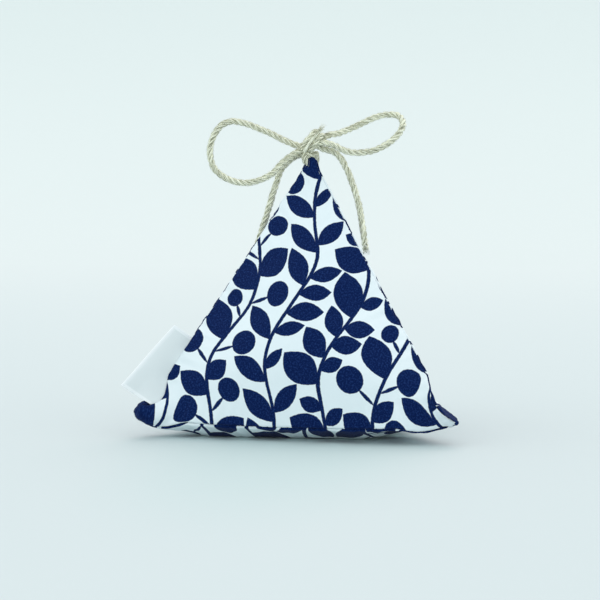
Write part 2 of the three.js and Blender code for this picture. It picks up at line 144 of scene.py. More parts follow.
def smooth_route(places, origin):
    """Evenly spaced points, in mm, on a smooth curve through the places."""
    points = np.array([Vector(place) + origin for place in places])
    chords = np.linalg.norm(np.diff(points, axis=0), axis=1)
    slopes = np.gradient(points, run_along(points), axis=0, edge_order=2)
    fine = []
    for i, chord in enumerate(chords):
        t = np.linspace(0, 1, CURVE_STEPS, endpoint=False)[:, None]
        fine.append(
            (2 * t**3 - 3 * t**2 + 1) * points[i]
            + (t**3 - 2 * t**2 + t) * chord * slopes[i]
            + (3 * t**2 - 2 * t**3) * points[i + 1]
            + (t**3 - t**2) * chord * slopes[i + 1]
        )
    fine = np.vstack([*fine, points[-1:]])
    return even_points(fine, ROUTE_STEP)


def even_points(fine, step):
    """The same line with points at an even spacing of about step."""
    run = run_along(fine)
    marks = np.linspace(0, run[-1], max(2, round(run[-1] / step) + 1))
    return np.stack([np.interp(marks, run, fine[:, k]) for k in range(3)], axis=1)


def route_length(points):
    return float(np.linalg.norm(np.diff(points, axis=0), axis=1).sum())


def tucked(place):
    """The place under the knot's wrap to which a strand leads on."""
    return Vector(place) * TUCK


def bow_route(places, both_ends):
    """A strand's route, led on under the knot at its first end or at both."""
    last = [tucked(places[-1])] if both_ends else []
    return smooth_route([tucked(places[0]), *places, *last], KNOT)


routes = {
    "neck": smooth_route(NECK_ROUTE, TIP),
    "left_loop": bow_route(LEFT_LOOP, True),
    "right_loop": bow_route(RIGHT_LOOP, True),
    "left_tail": bow_route(LEFT_TAIL, False),
    "right_tail": bow_route(RIGHT_TAIL, False),
}
print("twine lengths, mm:", {name: round(route_length(r), 1) for name, r in routes.items()})

# %% [markdown]
# A tube follows a line by a ring of points at every step. The rings must not spin as the
# line bends, so each ring's direction is the last one's, made square to the new step.
# The map of each tube runs along the fibre in metres, for the fibres of the material.

# %% Tubes
FIRST_SIDE = (0.3, 0.9, 0.31)
CLOTH_MAP = "UVMap"
MAP_SHIFT = 3.7
MAP_AROUND = 0.25


def travel_frames(points):
    """Tangent and two cross directions at each point of a line, without added twist."""
    tangents = np.gradient(points, axis=0)
    tangents /= np.linalg.norm(tangents, axis=1)[:, None]
    side = np.cross(tangents[0], FIRST_SIDE)
    sides = []
    for tangent in tangents:
        side = side - tangent * np.dot(side, tangent)
        side = side / np.linalg.norm(side)
        sides.append(side)
    sides = np.array(sides)
    return tangents, sides, np.cross(tangents, sides)


class Tubes:
    """Collects closed tubes and makes one mesh object of them."""

    def __init__(self):
        self.points, self.faces, self.maps = [], [], []

    def add(self, line, radii, sides):
        radii = np.broadcast_to(radii, len(line))
        _, across, over = travel_frames(line)
        first = sum(len(p) for p in self.points)
        run = run_along(line) + MAP_SHIFT * len(self.points)
        angles = 2 * np.pi * np.arange(sides) / sides
        ring = across[:, None] * np.cos(angles)[:, None] + over[:, None] * np.sin(angles)[:, None]
        self.points.append((line[:, None] + ring * radii[:, None, None]).reshape(-1, 3))
        for i in range(len(line) - 1):
            for k in range(sides):
                low, high = first + i * sides, first + (i + 1) * sides
                after = (k + 1) % sides
                self.faces.append((low + k, low + after, high + after, high + k))
                self.maps.append([(run[i], k), (run[i], k + 1), (run[i + 1], k + 1), (run[i + 1], k)])
        last = first + (len(line) - 1) * sides
        self.faces.append(tuple(first + k for k in reversed(range(sides))))
        self.maps.append([(run[0], k) for k in range(sides)])
        self.faces.append(tuple(last + k for k in range(sides)))
        self.maps.append([(run[-1], k) for k in range(sides)])

    def make(self, name):
        mesh = bpy.data.meshes.new(name)
        mesh.from_pydata((np.vstack(self.points) * MM).tolist(), [], self.faces)
        layer = mesh.uv_layers.new(name=CLOTH_MAP)
        flat = [(u * MM, v * MM * MAP_AROUND) for corners in self.maps for u, v in corners]
        layer.data.foreach_set("uv", np.array(flat).ravel())
        mesh.shade_smooth()
        piece = bpy.data.objects.new(name, mesh)
        bpy.context.collection.objects.link(piece)
        return piece


print("tubes are closed at both ends and mapped in metres")

# %% [markdown]
# Three plies with the right-hand lay of common twine wind round each route. Stray fibres
# leave the surface at a low angle, and a bare end opens into a small brush.

# %% Plies and fibres
PLY_RADIUS = 0.55
PLY_OFFSET = 0.65
LAY_LENGTH = 6.8
FIBRE_RADIUS = 0.03
FIBRE_STEPS = (3, 10)
FIBRE_LIFT = 0.5
FIBRE_SWAY = 0.5
FIBRE_SIDES = 3
FRAY = 4.5
BRUSH_FIBRES = 46
BRUSH_LENGTH = (1.2, 3.4)
BRUSH_WIDTH = 1.1
BRUSH_START = (0.2, 1)
BRUSH_THICKNESS = (1, 0.4)
BRUSH_POINTS = 5


def ply_line(route, ply, start_turn, flare, thin):
    """The middle of one ply, which opens outwards towards a bare end."""
    _, side, over = travel_frames(route)
    run = np.arange(len(route)) * ROUTE_STEP
    turn = start_turn + 2 * np.pi * (run / LAY_LENGTH + ply / 3)
    opened = np.clip((run - run[-1] + FRAY) / FRAY, 0, 1) ** 2 * flare
    reach = (PLY_OFFSET * thin + opened)[:, None]
    return route + reach * (side * np.cos(turn)[:, None] + over * np.sin(turn)[:, None])


def stray_fibres(tubes, route, count, dice, radius=PLY_RADIUS + PLY_OFFSET):
    """Loose fibres that follow the strand's lay and lift off at one end."""
    _, side, over = travel_frames(route)
    for _ in range(count):
        steps = min(dice.randrange(*FIBRE_STEPS), len(route) - 3)
        first = dice.randrange(1, len(route) - steps - 1)
        places = np.arange(first, first + steps + 1)
        turn = dice.uniform(0, 2 * math.pi) + 2 * np.pi * places * ROUTE_STEP / LAY_LENGTH
        if dice.random() < 0.5:
            places, turn = places[::-1], turn[::-1]
        t = np.linspace(0, 1, steps + 1)
        turn = turn + dice.uniform(-FIBRE_SWAY, FIBRE_SWAY) * t
        out = side[places] * np.cos(turn)[:, None] + over[places] * np.sin(turn)[:, None]
        lift = FIBRE_LIFT * dice.random() ** 2.5
        line = route[places] + out * (radius + lift * t**1.6)[:, None]
        tubes.add(line, FIBRE_RADIUS * (1 - 0.5 * t), FIBRE_SIDES)


def brush_end(tubes, route, dice, width=BRUSH_WIDTH):
    """Fibres that spread from the end of a strand."""
    tangents, side, over = travel_frames(route)
    for _ in range(BRUSH_FIBRES):
        turn = dice.uniform(0, 2 * math.pi)
        out = side[-1] * math.cos(turn) + over[-1] * math.sin(turn)
        length = dice.uniform(*BRUSH_LENGTH)
        spread = dice.uniform(0.0, 1.0)
        t = np.linspace(0, 1, BRUSH_POINTS)[:, None]
        start = route[-3] + out * dice.uniform(*BRUSH_START) * width
        line = start + tangents[-1] * length * t + out * spread * t**2
        tubes.add(line, FIBRE_RADIUS * 2 * np.linspace(*BRUSH_THICKNESS, BRUSH_POINTS), FIBRE_SIDES)


# %% [markdown]
# A strand is three plies, thicker and thinner in places, with their fibres. The neck goes
# through the cloth below the tip, which pinches it, and its two ends meet under the knot.

# %% Twine strands
PLY_SIDES = 8
FIBRES_PER_MM = 5.0
END_FLARE = 0.35
END_THIN = 0.55
SWELL = 0.05
SWELL_RATE = 0.37
NECK_SAG = (0.6, 0, -0.5)
NECK_PINCH = ((0, 2.2, 4, 10, 12, 20), (1, 1, 0.62, 0.62, 1, 1))
NECK_SEED = 13
STRAND_SEEDS = {"left_loop": 3, "right_loop": 5, "left_tail": 7, "right_tail": 11}
TAILS = ("left_tail", "right_tail")


def add_strand(tubes, route, seed, bare_end=False, thin=1.0):
    """Three plies along the route, thicker and thinner in places, with stray fibres."""
    dice = random.Random(seed)
    start_turn = dice.uniform(0, 2 * math.pi)
    steps = np.arange(len(route))
    radii = PLY_RADIUS * thin * (1 + SWELL * np.sin(steps * SWELL_RATE + seed))
    if bare_end:
        left = np.clip((steps[-1] - steps) * ROUTE_STEP / FRAY, 0, 1)
        radii = radii * (END_THIN + (1 - END_THIN) * left)
    for ply in range(3):
        line = ply_line(route, ply, start_turn, END_FLARE * bare_end, thin)
        tubes.add(line, radii, PLY_SIDES)
    stray_fibres(tubes, route, int(FIBRES_PER_MM * route_length(route)), dice)
    if bare_end:
        brush_end(tubes, route, dice)


def stand_for(piece, body, node):
    """The piece rides a body and takes the place of a CAD node."""
    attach(piece, body)
    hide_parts(node)


strands = {}
for name, seed in STRAND_SEEDS.items():
    tubes = Tubes()
    add_strand(tubes, routes[name], seed, name in TAILS)
    strands[name] = tubes.make(f"{name}_twine")
    stand_for(strands[name], "bow", name)
neck_start, neck_end = Vector(NECK_ROUTE[0]), Vector(NECK_ROUTE[-1])
neck_middle = neck_start.lerp(neck_end, 0.5) + Vector(NECK_SAG)
pinch = np.interp(np.arange(len(routes["neck"])) * ROUTE_STEP, *NECK_PINCH)
tubes = Tubes()
add_strand(tubes, routes["neck"], NECK_SEED, thin=pinch)
add_strand(tubes, smooth_route([neck_start, neck_middle, neck_end], TIP), NECK_SEED + 1)
strands["neck"] = tubes.make("neck_twine_strand")
stand_for(strands["neck"], "sachet", "neck_twine")
print("strands:", {name: len(piece.data.polygons) for name, piece in strands.items()})

# %% [markdown]
# The knot's wrap goes twice round the crossing strands, slanting from lower left to upper
# right. Inside it the loops and tails pass from one side to the other, so short strands
# join their ends through the wrap. One ply that was caught in the knot ends in a tuft.

# %% Knot
WRAP_HEIGHT = 3.9
WRAP_DEPTH = 2.3
WRAP_PITCH = 2.8
WRAP_TURNS = 2
WRAP_TILT = math.radians(30)
WRAP_PLACE = KNOT + Vector((-0.4, 0, 0.9))
WRAP_THIN = 0.9
WRAP_POINTS = 400
WRAP_SEED = 17
TUFT = [
    (-3.1, -2.4, -2.8), (-2, -3.7, -1.3), (-0.6, -4.2, 0.6),
    (1, -3.9, 2.7), (2.2, -3.1, 4.3), (2.9, -2.4, 5.4),
]
TUFT_THICKNESS = (1.2, 0.8)
TUFT_FIBRES = 40
TUFT_WIDTH = 0.7
TUFT_SEED = 31
THROUGH = [
    (LEFT_LOOP[0], RIGHT_LOOP[0], (0, 0, 0.4), 19),
    (LEFT_LOOP[-1], RIGHT_LOOP[-1], (0, 0.4, 0), 23),
    (LEFT_TAIL[0], RIGHT_TAIL[0], (0, 0, 0.8), 29),
]


def wrap_route():
    """Two slanting turns round the crossing strands."""
    t = np.linspace(0, 1, WRAP_POINTS)
    turn = 2 * np.pi * WRAP_TURNS * t
    along = WRAP_PITCH * WRAP_TURNS * (t - 0.5)
    up = -WRAP_HEIGHT * np.sin(turn)
    x = along * math.cos(WRAP_TILT) + up * math.sin(WRAP_TILT)
    z = up * math.cos(WRAP_TILT) - along * math.sin(WRAP_TILT)
    line = np.stack([x, WRAP_DEPTH * np.cos(turn), z], axis=1) + np.array(WRAP_PLACE)
    return even_points(line, ROUTE_STEP)


def through_route(start, end, bulge):
    """A short bulging route from one side of the knot to the other."""
    middle = (start + end) / 2 + Vector(bulge)
    return smooth_route([start, (start + middle) / 2, middle, (end + middle) / 2, end], KNOT)


tubes = Tubes()
add_strand(tubes, wrap_route(), WRAP_SEED, thin=WRAP_THIN)
for start, end, bulge, seed in THROUGH:
    add_strand(tubes, through_route(tucked(start), tucked(end), bulge), seed, thin=WRAP_THIN)
tuft = smooth_route(TUFT, KNOT)
tuft_dice = random.Random(TUFT_SEED)
tubes.add(tuft, PLY_RADIUS * np.linspace(*TUFT_THICKNESS, len(tuft)), PLY_SIDES)
stray_fibres(tubes, tuft, TUFT_FIBRES, tuft_dice, PLY_RADIUS)
brush_end(tubes, tuft, tuft_dice, TUFT_WIDTH)
strands["knot"] = tubes.make("bow_knot_twine")
stand_for(strands["knot"], "bow", "bow_knot")
print("knot:", len(strands["knot"].data.polygons), "faces")

# %% [markdown]
# Loops and tails are free cords. A loop comes back to the knot, and a tail has a bare end.

# %% Cords
print("cords:", list(STRAND_SEEDS))

# %% [markdown]
# ## Pouch
# The pouch is cut as four equal triangles, so it starts as a three-sided cone, which is a
# tetrahedron. It is subdivided, bent to the CAD model's seams and a low crown, and then
# blown up as cloth with its seams held, so that the panels swell and pucker by themselves.

# %% Cut pattern
EDGE = 115.0
CORNER_LIFT = 8.5
HEIGHT = EDGE * math.sqrt(2 / 3)
PANEL_HEIGHT = EDGE * math.sqrt(3) / 2
BASE_INRADIUS = EDGE / (2 * math.sqrt(3))
CORNERS = np.array([
    (-EDGE / 2, -BASE_INRADIUS, CORNER_LIFT),
    (EDGE / 2, -BASE_INRADIUS, CORNER_LIFT),
    (0, 2 * BASE_INRADIUS, CORNER_LIFT),
    (0, 0, CORNER_LIFT + HEIGHT),
])
LEFT, RIGHT, REAR, TIP_CORNER = range(4)
HEART = np.array([0, 0, CORNER_LIFT + HEIGHT / 4])
PANELS = {
    "front": (LEFT, RIGHT, TIP_CORNER),
    "right": (RIGHT, REAR, TIP_CORNER),
    "left": (REAR, LEFT, TIP_CORNER),
    "base": (LEFT, REAR, RIGHT),
}
SEAMS = [(a, b) for a in range(4) for b in range(a + 1, 4)]
print("panels:", list(PANELS), "seams:", len(SEAMS))

# %% [markdown]
# A place on the flat pouch is known by its shares in the four corners. The product of two
# shares is largest in the middle of a seam and that of three in the middle of a panel, so
# they say how far the seams draw in and the panels rise. The base's seams sag sooner than the
# CAD model's, because the filling's weight presses them out, and the pouch leans a little to
# its left, so the base is lower there.

# %% Bent shape
SEAM_DRAW = 1.5
BASE_SAG = 3.5
SIDE_CROWN = 8.0
BASE_CROWN = 7.0
BASE_FULLNESS = 1.0
BASE_LEAN = 1.2
SAG_FULLNESS = 0.5


def unit(vectors):
    return vectors / np.linalg.norm(vectors, axis=-1, keepdims=True)


def corner_shares(points):
    """Weights of the four corners at points of the flat-sided tetrahedron."""
    system = np.vstack([CORNERS.T, np.ones(4)])
    shares = np.linalg.solve(system, np.vstack([points.T, np.ones(len(points))])).T
    return np.where(np.abs(shares) < 1e-6, 0, shares)


def seam_draw(a, b):
    """How the middle of a seam is drawn in."""
    middle = (CORNERS[a] + CORNERS[b]) / 2
    if TIP_CORNER in (a, b):
        return unit(HEART - middle) * SEAM_DRAW
    return unit(-middle * (1, 1, 0)) * SEAM_DRAW - np.array((0, 0, BASE_SAG))


def panel_normal(panel):
    a, b, c = (CORNERS[k] for k in PANELS[panel])
    return unit(np.cross(b - a, c - a))


def full(rise, fullness):
    """A rise from 0 to 1 that is the steeper at its start the smaller the fullness."""
    return rise * (1 + fullness) / (rise + fullness)


def bent_points(shares):
    points = shares @ CORNERS
    for a, b in SEAMS:
        bend = 4 * shares[:, a] * shares[:, b]
        bend = bend if TIP_CORNER in (a, b) else full(bend, SAG_FULLNESS)
        points = points + np.outer(bend, seam_draw(a, b))
    for panel, (a, b, c) in PANELS.items():
        rise = 27 * shares[:, a] * shares[:, b] * shares[:, c]
        dome = SIDE_CROWN * rise
        if panel == "base":
            dome = BASE_CROWN * full(rise, BASE_FULLNESS) * (1 - BASE_LEAN * shares[:, RIGHT])
        points = points + np.outer(dome, panel_normal(panel))
    return points


print("the front seam's middle moves by", seam_draw(LEFT, RIGHT).round(2), "mm")

# %% [markdown]
# The helpers here open a piece for editing, apply a modifier, and read or set points in mm.

# %% Pouch start
PANEL_STEPS = 48


def deselect_all():
    bpy.ops.object.select_all(action="DESELECT")


def make_active(piece):
    deselect_all()
    piece.select_set(True)
    bpy.context.view_layer.objects.active = piece


@contextmanager
def editing(piece, mode="VERT", chosen=None):
    """Edit mode on one piece with all of it selected, or only the chosen points or edges."""
    make_active(piece)
    bpy.ops.object.mode_set(mode="EDIT")
    bpy.ops.mesh.select_mode(type=mode)
    bpy.ops.mesh.select_all(action="SELECT" if chosen is None else "DESELECT")
    if chosen is not None:
        bpy.ops.object.mode_set(mode="OBJECT")
        parts = piece.data.vertices if mode == "VERT" else piece.data.edges
        parts.foreach_set("select", chosen)
        bpy.ops.object.mode_set(mode="EDIT")
    yield
    bpy.ops.object.mode_set(mode="OBJECT")


def apply_modifier(piece, kind, **settings):
    make_active(piece)
    bpy.ops.object.modifier_add(type=kind)
    modifier = piece.modifiers[-1]
    for name, value in settings.items():
        setattr(modifier, name, value)
    bpy.ops.object.modifier_apply(modifier=modifier.name)


def point_values(mesh, name):
    values = np.empty(len(mesh.vertices) * 3)
    mesh.vertices.foreach_get(name, values)
    return values.reshape(-1, 3)


def mesh_points(mesh):
    return point_values(mesh, "co") / MM


def set_points(mesh, points):
    mesh.vertices.foreach_set("co", (points * MM).ravel())
    mesh.update()


deselect_all()
bpy.ops.mesh.primitive_cone_add(
    vertices=3,
    radius1=EDGE / math.sqrt(3) * MM,
    radius2=0,
    depth=HEIGHT * MM,
    end_fill_type="NGON",
    location=(0, 0, (CORNER_LIFT + HEIGHT / 2) * MM),
)
pouch = bpy.context.object
pouch.name = "pouch"
bpy.ops.object.transform_apply(location=True, rotation=True, scale=True)
with editing(pouch):
    bpy.ops.mesh.subdivide(number_cuts=PANEL_STEPS - 1)
shares = corner_shares(mesh_points(pouch.data))
print("pouch:", len(pouch.data.vertices), "points,", len(pouch.data.polygons), "faces")

# %% [markdown]
# Each panel is cut from the printed cloth in its own place and direction, so the print
# doesn't run on across a seam. The map holds the flat cloth in metres, and every panel
# gets a material slot of its own, by which the pouch is taken apart later.

# %% Panels on the cloth
PRINT_LAY = {
    "front": (math.radians(12.1), (54.6, 12.4)),
    "right": (math.radians(-34.4), (12.9, 10.3)),
    "left": (math.radians(89.7), (30.7, 28.0)),
    "base": (math.radians(128), (44, 25)),
}


def flat_place(panel, share):
    _, b, c = PANELS[panel]
    x = share[b] * EDGE + share[c] * EDGE / 2
    y = share[c] * PANEL_HEIGHT
    turn, (across, along) = PRINT_LAY[panel]
    return (
        (x * math.cos(turn) - y * math.sin(turn) + across) * MM,
        (x * math.sin(turn) + y * math.cos(turn) + along) * MM,
    )


def panel_of(point_shares):
    """The panel between the corners that have a share in these points."""
    used = {k for k in range(4) if point_shares[:, k].max() > 0}
    return next(panel for panel, corners in PANELS.items() if used <= set(corners))


cloth_map = pouch.data.uv_layers.active or pouch.data.uv_layers.new(name=CLOTH_MAP)
cloth_map.name = CLOTH_MAP
for panel in PANELS:
    pouch.data.materials.append(bpy.data.materials.new(panel))
for face in pouch.data.polygons:
    panel = panel_of(shares[list(face.vertices)])
    face.material_index = list(PANELS).index(panel)
    for loop in face.loop_indices:
        vertex = pouch.data.loops[loop].vertex_index
        cloth_map.data[loop].uv = flat_place(panel, shares[vertex])
share_layer = pouch.data.attributes.new("shares", "FLOAT_COLOR", "POINT")
share_layer.data.foreach_set("color", shares.ravel())
set_points(pouch.data, bent_points(shares))
print("faces per panel:", [sum(f.material_index == k for f in pouch.data.polygons) for k in range(4)])

# %% [markdown]
# The cloth is a little longer than its seams, so pressure from the filling makes it swell
# between them and ripple beside them. Only the seams are pinned.

# %% Stuffing the pouch
SIM_FRAMES = 30
CLOTH_SLACK = 0.012
FILL_PRESSURE = 3.0
SMOOTH_ROUNDS = 4
SEAM_ROOM = 1.012
CLOTH_FEEL = {
    "quality": 8,
    "mass": 0.15,
    "tension_stiffness": 40,
    "compression_stiffness": 40,
    "shear_stiffness": 15,
    "bending_stiffness": 3,
    "air_damping": 3,
    "shrink_min": -CLOTH_SLACK,
    "shrink_max": -CLOTH_SLACK,
    "use_pressure": True,
    "uniform_pressure_force": FILL_PRESSURE,
}


def stuff(piece, on_seam):
    """Blows the pouch up as cloth that is pinned at its seams."""
    seam_group = piece.vertex_groups.new(name="seams")
    seam_group.add(on_seam.tolist(), 1.0, "REPLACE")
    make_active(piece)
    bpy.ops.object.modifier_add(type="CLOTH")
    settings = piece.modifiers[-1].settings
    for name, value in CLOTH_FEEL.items():
        setattr(settings, name, value)
    settings.vertex_group_mass = seam_group.name
    settings.effector_weights.gravity = 0
    piece.modifiers[-1].collision_settings.use_collision = False
    scene = bpy.context.scene
    for step in range(1, SIM_FRAMES + 1):
        scene.frame_set(step)
    bpy.ops.object.modifier_apply(modifier=piece.modifiers[-1].name)
    scene.frame_set(1)


def iron(piece, on_seam):
    """Takes the smallest creases out of the cloth between the seams."""
    flat = np.ones(len(piece.data.vertices), dtype=bool)
    flat[on_seam] = False
    with editing(piece, chosen=flat):
        bpy.ops.mesh.vertices_smooth(factor=0.5, repeat=SMOOTH_ROUNDS)


before = mesh_points(pouch.data)
seam_points = np.flatnonzero((shares > 0).sum(axis=1) <= 2)
stuff(pouch, seam_points)
iron(pouch, seam_points)
after = mesh_points(pouch.data)
moved = np.linalg.norm(after - before, axis=1)
set_points(pouch.data, HEART + (after - HEART) * SEAM_ROOM)
print(f"cloth moved {moved.mean():.2f} mm on average, {moved.max():.2f} mm at most")

# %% [markdown]
# ## Panels
# The stuffed pouch is taken apart along its seams and each panel is smoothed by
# subdivision. A panel's edge is turned: it rolls over with a small radius and goes inside
# along the seam's middle plane, beside its neighbour's edge. That leaves the fine groove
# that a sewn seam shows. The roll is worked out beside each seam as an arc that touches
# the panel on one side and the middle plane on the other.

# %% Taking the pouch apart
SMOOTH_LEVELS = 2


def piece_shares(piece):
    layer = piece.data.attributes["shares"].data
    values = np.empty(len(layer) * 4)
    layer.foreach_get("color", values)
    values = values.reshape(-1, 4)
    return np.where(np.abs(values) < 1e-5, 0, values)


def take_apart(piece):
    """The panels as objects of their own, by name."""
    with editing(piece):
        bpy.ops.mesh.separate(type="MATERIAL")
    found = {}
    for part in list(bpy.context.selected_objects):
        panel = panel_of(piece_shares(part))
        part.name = f"{panel}_panel_cloth"
        part.data.materials.clear()
        found[panel] = part
    return found


stuffed_points = mesh_points(pouch.data)
stuffed_faces = [tuple(face.vertices) for face in pouch.data.polygons]
cloth_panels = take_apart(pouch)
for piece in cloth_panels.values():
    apply_modifier(
        piece,
        "SUBSURF",
        levels=SMOOTH_LEVELS,
        render_levels=SMOOTH_LEVELS,
        boundary_smooth="PRESERVE_CORNERS",
    )
print({panel: len(piece.data.polygons) for panel, piece in cloth_panels.items()})

# %% [markdown]
# A stuffed corner is round, because the filling pushes into it and the turned seams are
# stiff. Each corner is laid over a cone with a round end. Its size differs from corner to
# corner, and the two front corners are also turned a little, as the sewing twists them.
# A nose has the radius of its round end, how far in the end's centre lies, how far the cloth
# is pulled over it, where its hold ends, its dip, and its twist in degrees with its reach.

# %% Rounded corners
Nose = namedtuple("Nose", "radius centre pull hold dip twist reach")
CORNER_NOSES = {
    LEFT: Nose(3.8, 4.2, 1.0, (8.0, 20.0), 0.5, 40, 16.0),
    RIGHT: Nose(1.0, 1.6, 0.7, (1.5, 4.0), 0.0, -60, 20.0),
    REAR: Nose(1.6, 3.0, 0.6, (2.5, 6.0), 0.0, 0, 1.0),
    TIP_CORNER: Nose(2.6, 5.2, 0.57, (4.0, 7.0), 0.0, 0, 1.0),
}
NOSE_SLOPE = math.radians(20)
TWIST_START = 3.0
ROOMY_CORNERS = HEART + (CORNERS - HEART) * SEAM_ROOM


def fade(distance, start, end):
    t = np.clip((end - distance) / (end - start), 0, 1)
    return (t * t * (3 - 2 * t))[:, None]


def swung(vectors, start, end):
    """Turns the vectors by the turn that takes the direction start to the direction end."""
    pole = np.cross(start, end)
    once = np.cross(pole, vectors)
    return vectors + once + np.cross(pole, once) / (1 + start @ end)


def nose_points(run, away, axis, nose):
    """Points on a round-ended cone, by their run over it from its tip and their side."""
    angle = np.minimum(run / nose.radius, math.pi / 2 - NOSE_SLOPE)
    rest = run - angle * nose.radius
    along = nose.centre - nose.radius * np.cos(angle) + rest * math.cos(NOSE_SLOPE)
    return axis * along + away * (nose.radius * np.sin(angle) + rest * math.sin(NOSE_SLOPE))


def rounded(points):
    """The points with every corner of the pouch laid over its nose."""
    for corner, nose in CORNER_NOSES.items():
        place = ROOMY_CORNERS[corner]
        axis = unit(HEART - place)
        lowered = unit(axis - np.array((0, 0, nose.dip)))
        offset = points - place
        distance = np.linalg.norm(offset, axis=1)
        depth = (offset @ axis)[:, None]
        around = offset - depth * axis
        turn = math.radians(nose.twist) * fade(distance, TWIST_START, TWIST_START + nose.reach)
        around = around * np.cos(turn) + np.cross(axis, around) * np.sin(turn)
        away = around / np.maximum(np.linalg.norm(around, axis=1, keepdims=True), 1e-9)
        cone = nose_points(distance[:, None] * nose.pull, swung(away, axis, lowered), lowered, nose)
        cone += (axis - lowered) * nose.centre
        hold = fade(distance, *nose.hold)
        points = place + hold * cone + (1 - hold) * (depth * axis + around)
    return points


def mesh_normals(mesh):
    return point_values(mesh, "normal")


def round_corners(piece, before, turned):
    """Rounds the corners under the turned edges, which keep their height on the cloth."""
    set_points(piece.data, before)
    normals = mesh_normals(piece.data)
    lift = ((turned - before) * normals).sum(axis=1, keepdims=True)
    foot = rounded(turned - lift * normals)
    set_points(piece.data, rounded(before))
    set_points(piece.data, foot + lift * mesh_normals(piece.data))


tip_top = rounded(ROOMY_CORNERS[[TIP_CORNER]])[0]
below = CORNERS[TIP_CORNER][2] - tip_top[2]
print(f"the cloth ends {below:.2f} mm below the point where the seams meet")

# %% [markdown]
# A panel has one side along each of its seams. For any place beside it, a side tells where
# its edge runs and in which direction the cloth leaves the edge.

# %% Seam sides
BESIDE_SEAM = (1.8, 4.2)
SEAM_PLACES = 24


def interpolate(t, known_t, known):
    return np.stack([np.interp(t, known_t, known[:, k]) for k in range(3)], axis=1)


class SeamSide:
    """One panel's edge along a seam: where it runs, and its directions at any place."""

    def __init__(self, points, shares, a, b, opposite):
        self.height = shares[:, opposite] * PANEL_HEIGHT
        both = shares[:, a] + shares[:, b]
        self.t = np.where(both > 1e-9, shares[:, b] / np.maximum(both, 1e-9), 0.5)
        edge = np.flatnonzero(self.height == 0)
        edge = edge[np.argsort(self.t[edge])]
        self.edge_t, self.edge_points = self.t[edge], points[edge]
        self.edge_along = unit(np.gradient(self.edge_points, axis=0))
        beside = np.flatnonzero((self.height > BESIDE_SEAM[0]) & (self.height < BESIDE_SEAM[1]))
        beside = beside[np.argsort(self.t[beside])]
        ways = points[beside] - interpolate(self.t[beside], self.edge_t, self.edge_points)
        bins = np.linspace(0, 1, SEAM_PLACES + 1)
        middles, means = [], []
        for low, high in zip(bins[:-1], bins[1:]):
            chosen = (self.t[beside] >= low) & (self.t[beside] < high)
            if chosen.any():
                middles.append((low + high) / 2)
                means.append(unit(ways[chosen]).mean(axis=0))
        self.way_t, self.ways = np.array(middles), np.array(means)

    def at(self, t):
        ridge = interpolate(t, self.edge_t, self.edge_points)
        along = unit(interpolate(t, self.edge_t, self.edge_along))
        square = lambda v: unit(v - along * (v * along).sum(axis=1, keepdims=True))
        inward = square(HEART - ridge)
        surface = square(interpolate(t, self.way_t, self.ways))
        leaning = (surface * inward).sum(axis=1)
        aside = unit(surface - inward * leaning[:, None])
        return ridge, along, inward, aside, np.arccos(np.clip(leaning, -1, 1))


print("a side's direction is averaged at", SEAM_PLACES, "places")

# %% [markdown]
# Beside a seam the cloth puckers, because the thread draws it up a little. The ripples run
# across the seam, fade out within a few millimetres and differ on the two sides.

# %% Puckers and turned edges
FOLD_RADIUS = 0.4
SEAM_GAP = 0.2
PUCKER_HEIGHT = 0.25
PUCKER_REACH = 3.2
PUCKER_SEED = 4
RIPPLES = (11, 7.3, 5.1, 3.9)
RIPPLE_SHARE = (0.5, 1)
CORNER_FLAT = (3.0, 9.0)


def ripple(t, dice):
    """Waves of several lengths along a seam."""
    run = t * EDGE
    wave = np.zeros_like(run)
    for length in RIPPLES:
        wave += dice.uniform(*RIPPLE_SHARE) * np.sin(2 * np.pi * run / length + dice.uniform(0, 6.3))
    return wave / 2


def turn_edges(piece, panel, dice):
    """Puckers and turns the three edges of a panel."""
    points, shares_here = mesh_points(piece.data), piece_shares(piece)
    normals = mesh_normals(piece.data)
    corners = PANELS[panel]
    sides = []
    for k in range(3):
        a, b, opposite = corners[k], corners[(k + 1) % 3], corners[(k + 2) % 3]
        sides.append(SeamSide(points, shares_here, a, b, opposite))
    moved = points.copy()
    for side in sides:
        pucker = side.height / PUCKER_REACH * np.exp(1 - side.height / PUCKER_REACH)
        moved += normals * (PUCKER_HEIGHT * pucker * ripple(side.t, dice))[:, None]
        ridge, along, inward, aside, angle = side.at(side.t)
        centre_in = (FOLD_RADIUS + np.cos(angle) * (SEAM_GAP / 2 + FOLD_RADIUS)) / np.sin(angle)
        centre_out = SEAM_GAP / 2 + FOLD_RADIUS
        reach = np.sin(angle) * centre_out + np.cos(angle) * centre_in
        near = side.height < reach
        q = 1 - side.height / reach
        bend = -(angle + q * (np.pi - angle))
        offset = points - ridge
        rolled = (
            ridge
            + along * (offset * along).sum(axis=1, keepdims=True)
            + aside * (centre_out + FOLD_RADIUS * np.cos(bend))[:, None]
            + inward * (centre_in + FOLD_RADIUS * np.sin(bend))[:, None]
        )
        blunt = fade(side.t * EDGE, *CORNER_FLAT) + fade((1 - side.t) * EDGE, *CORNER_FLAT)
        moved[near] += ((rolled - points) * (1 - np.clip(blunt, 0, 1)))[near]
    round_corners(piece, points, moved)
    return sides


dice = np.random.default_rng(PUCKER_SEED)
seam_sides = {panel: turn_edges(piece, panel, dice) for panel, piece in cloth_panels.items()}
print("edges turned on", list(seam_sides))

# %% [markdown]
# The turned edge goes on inside as the seam allowance, which is trimmed in the corners. The
# table flattens the base, and Solidify gives the cloth its thickness.

# %% Allowance, table and thickness
ALLOWANCE = 2.5
TRIM_START = np.full(4, 5.0)
TRIM_START[RIGHT] = 16.0
TRIM_REACH = 12.0
TRIM_LEAST = 0.1
CLOTH_THICKNESS = 0.4
TABLE_SOFTNESS = 0.5


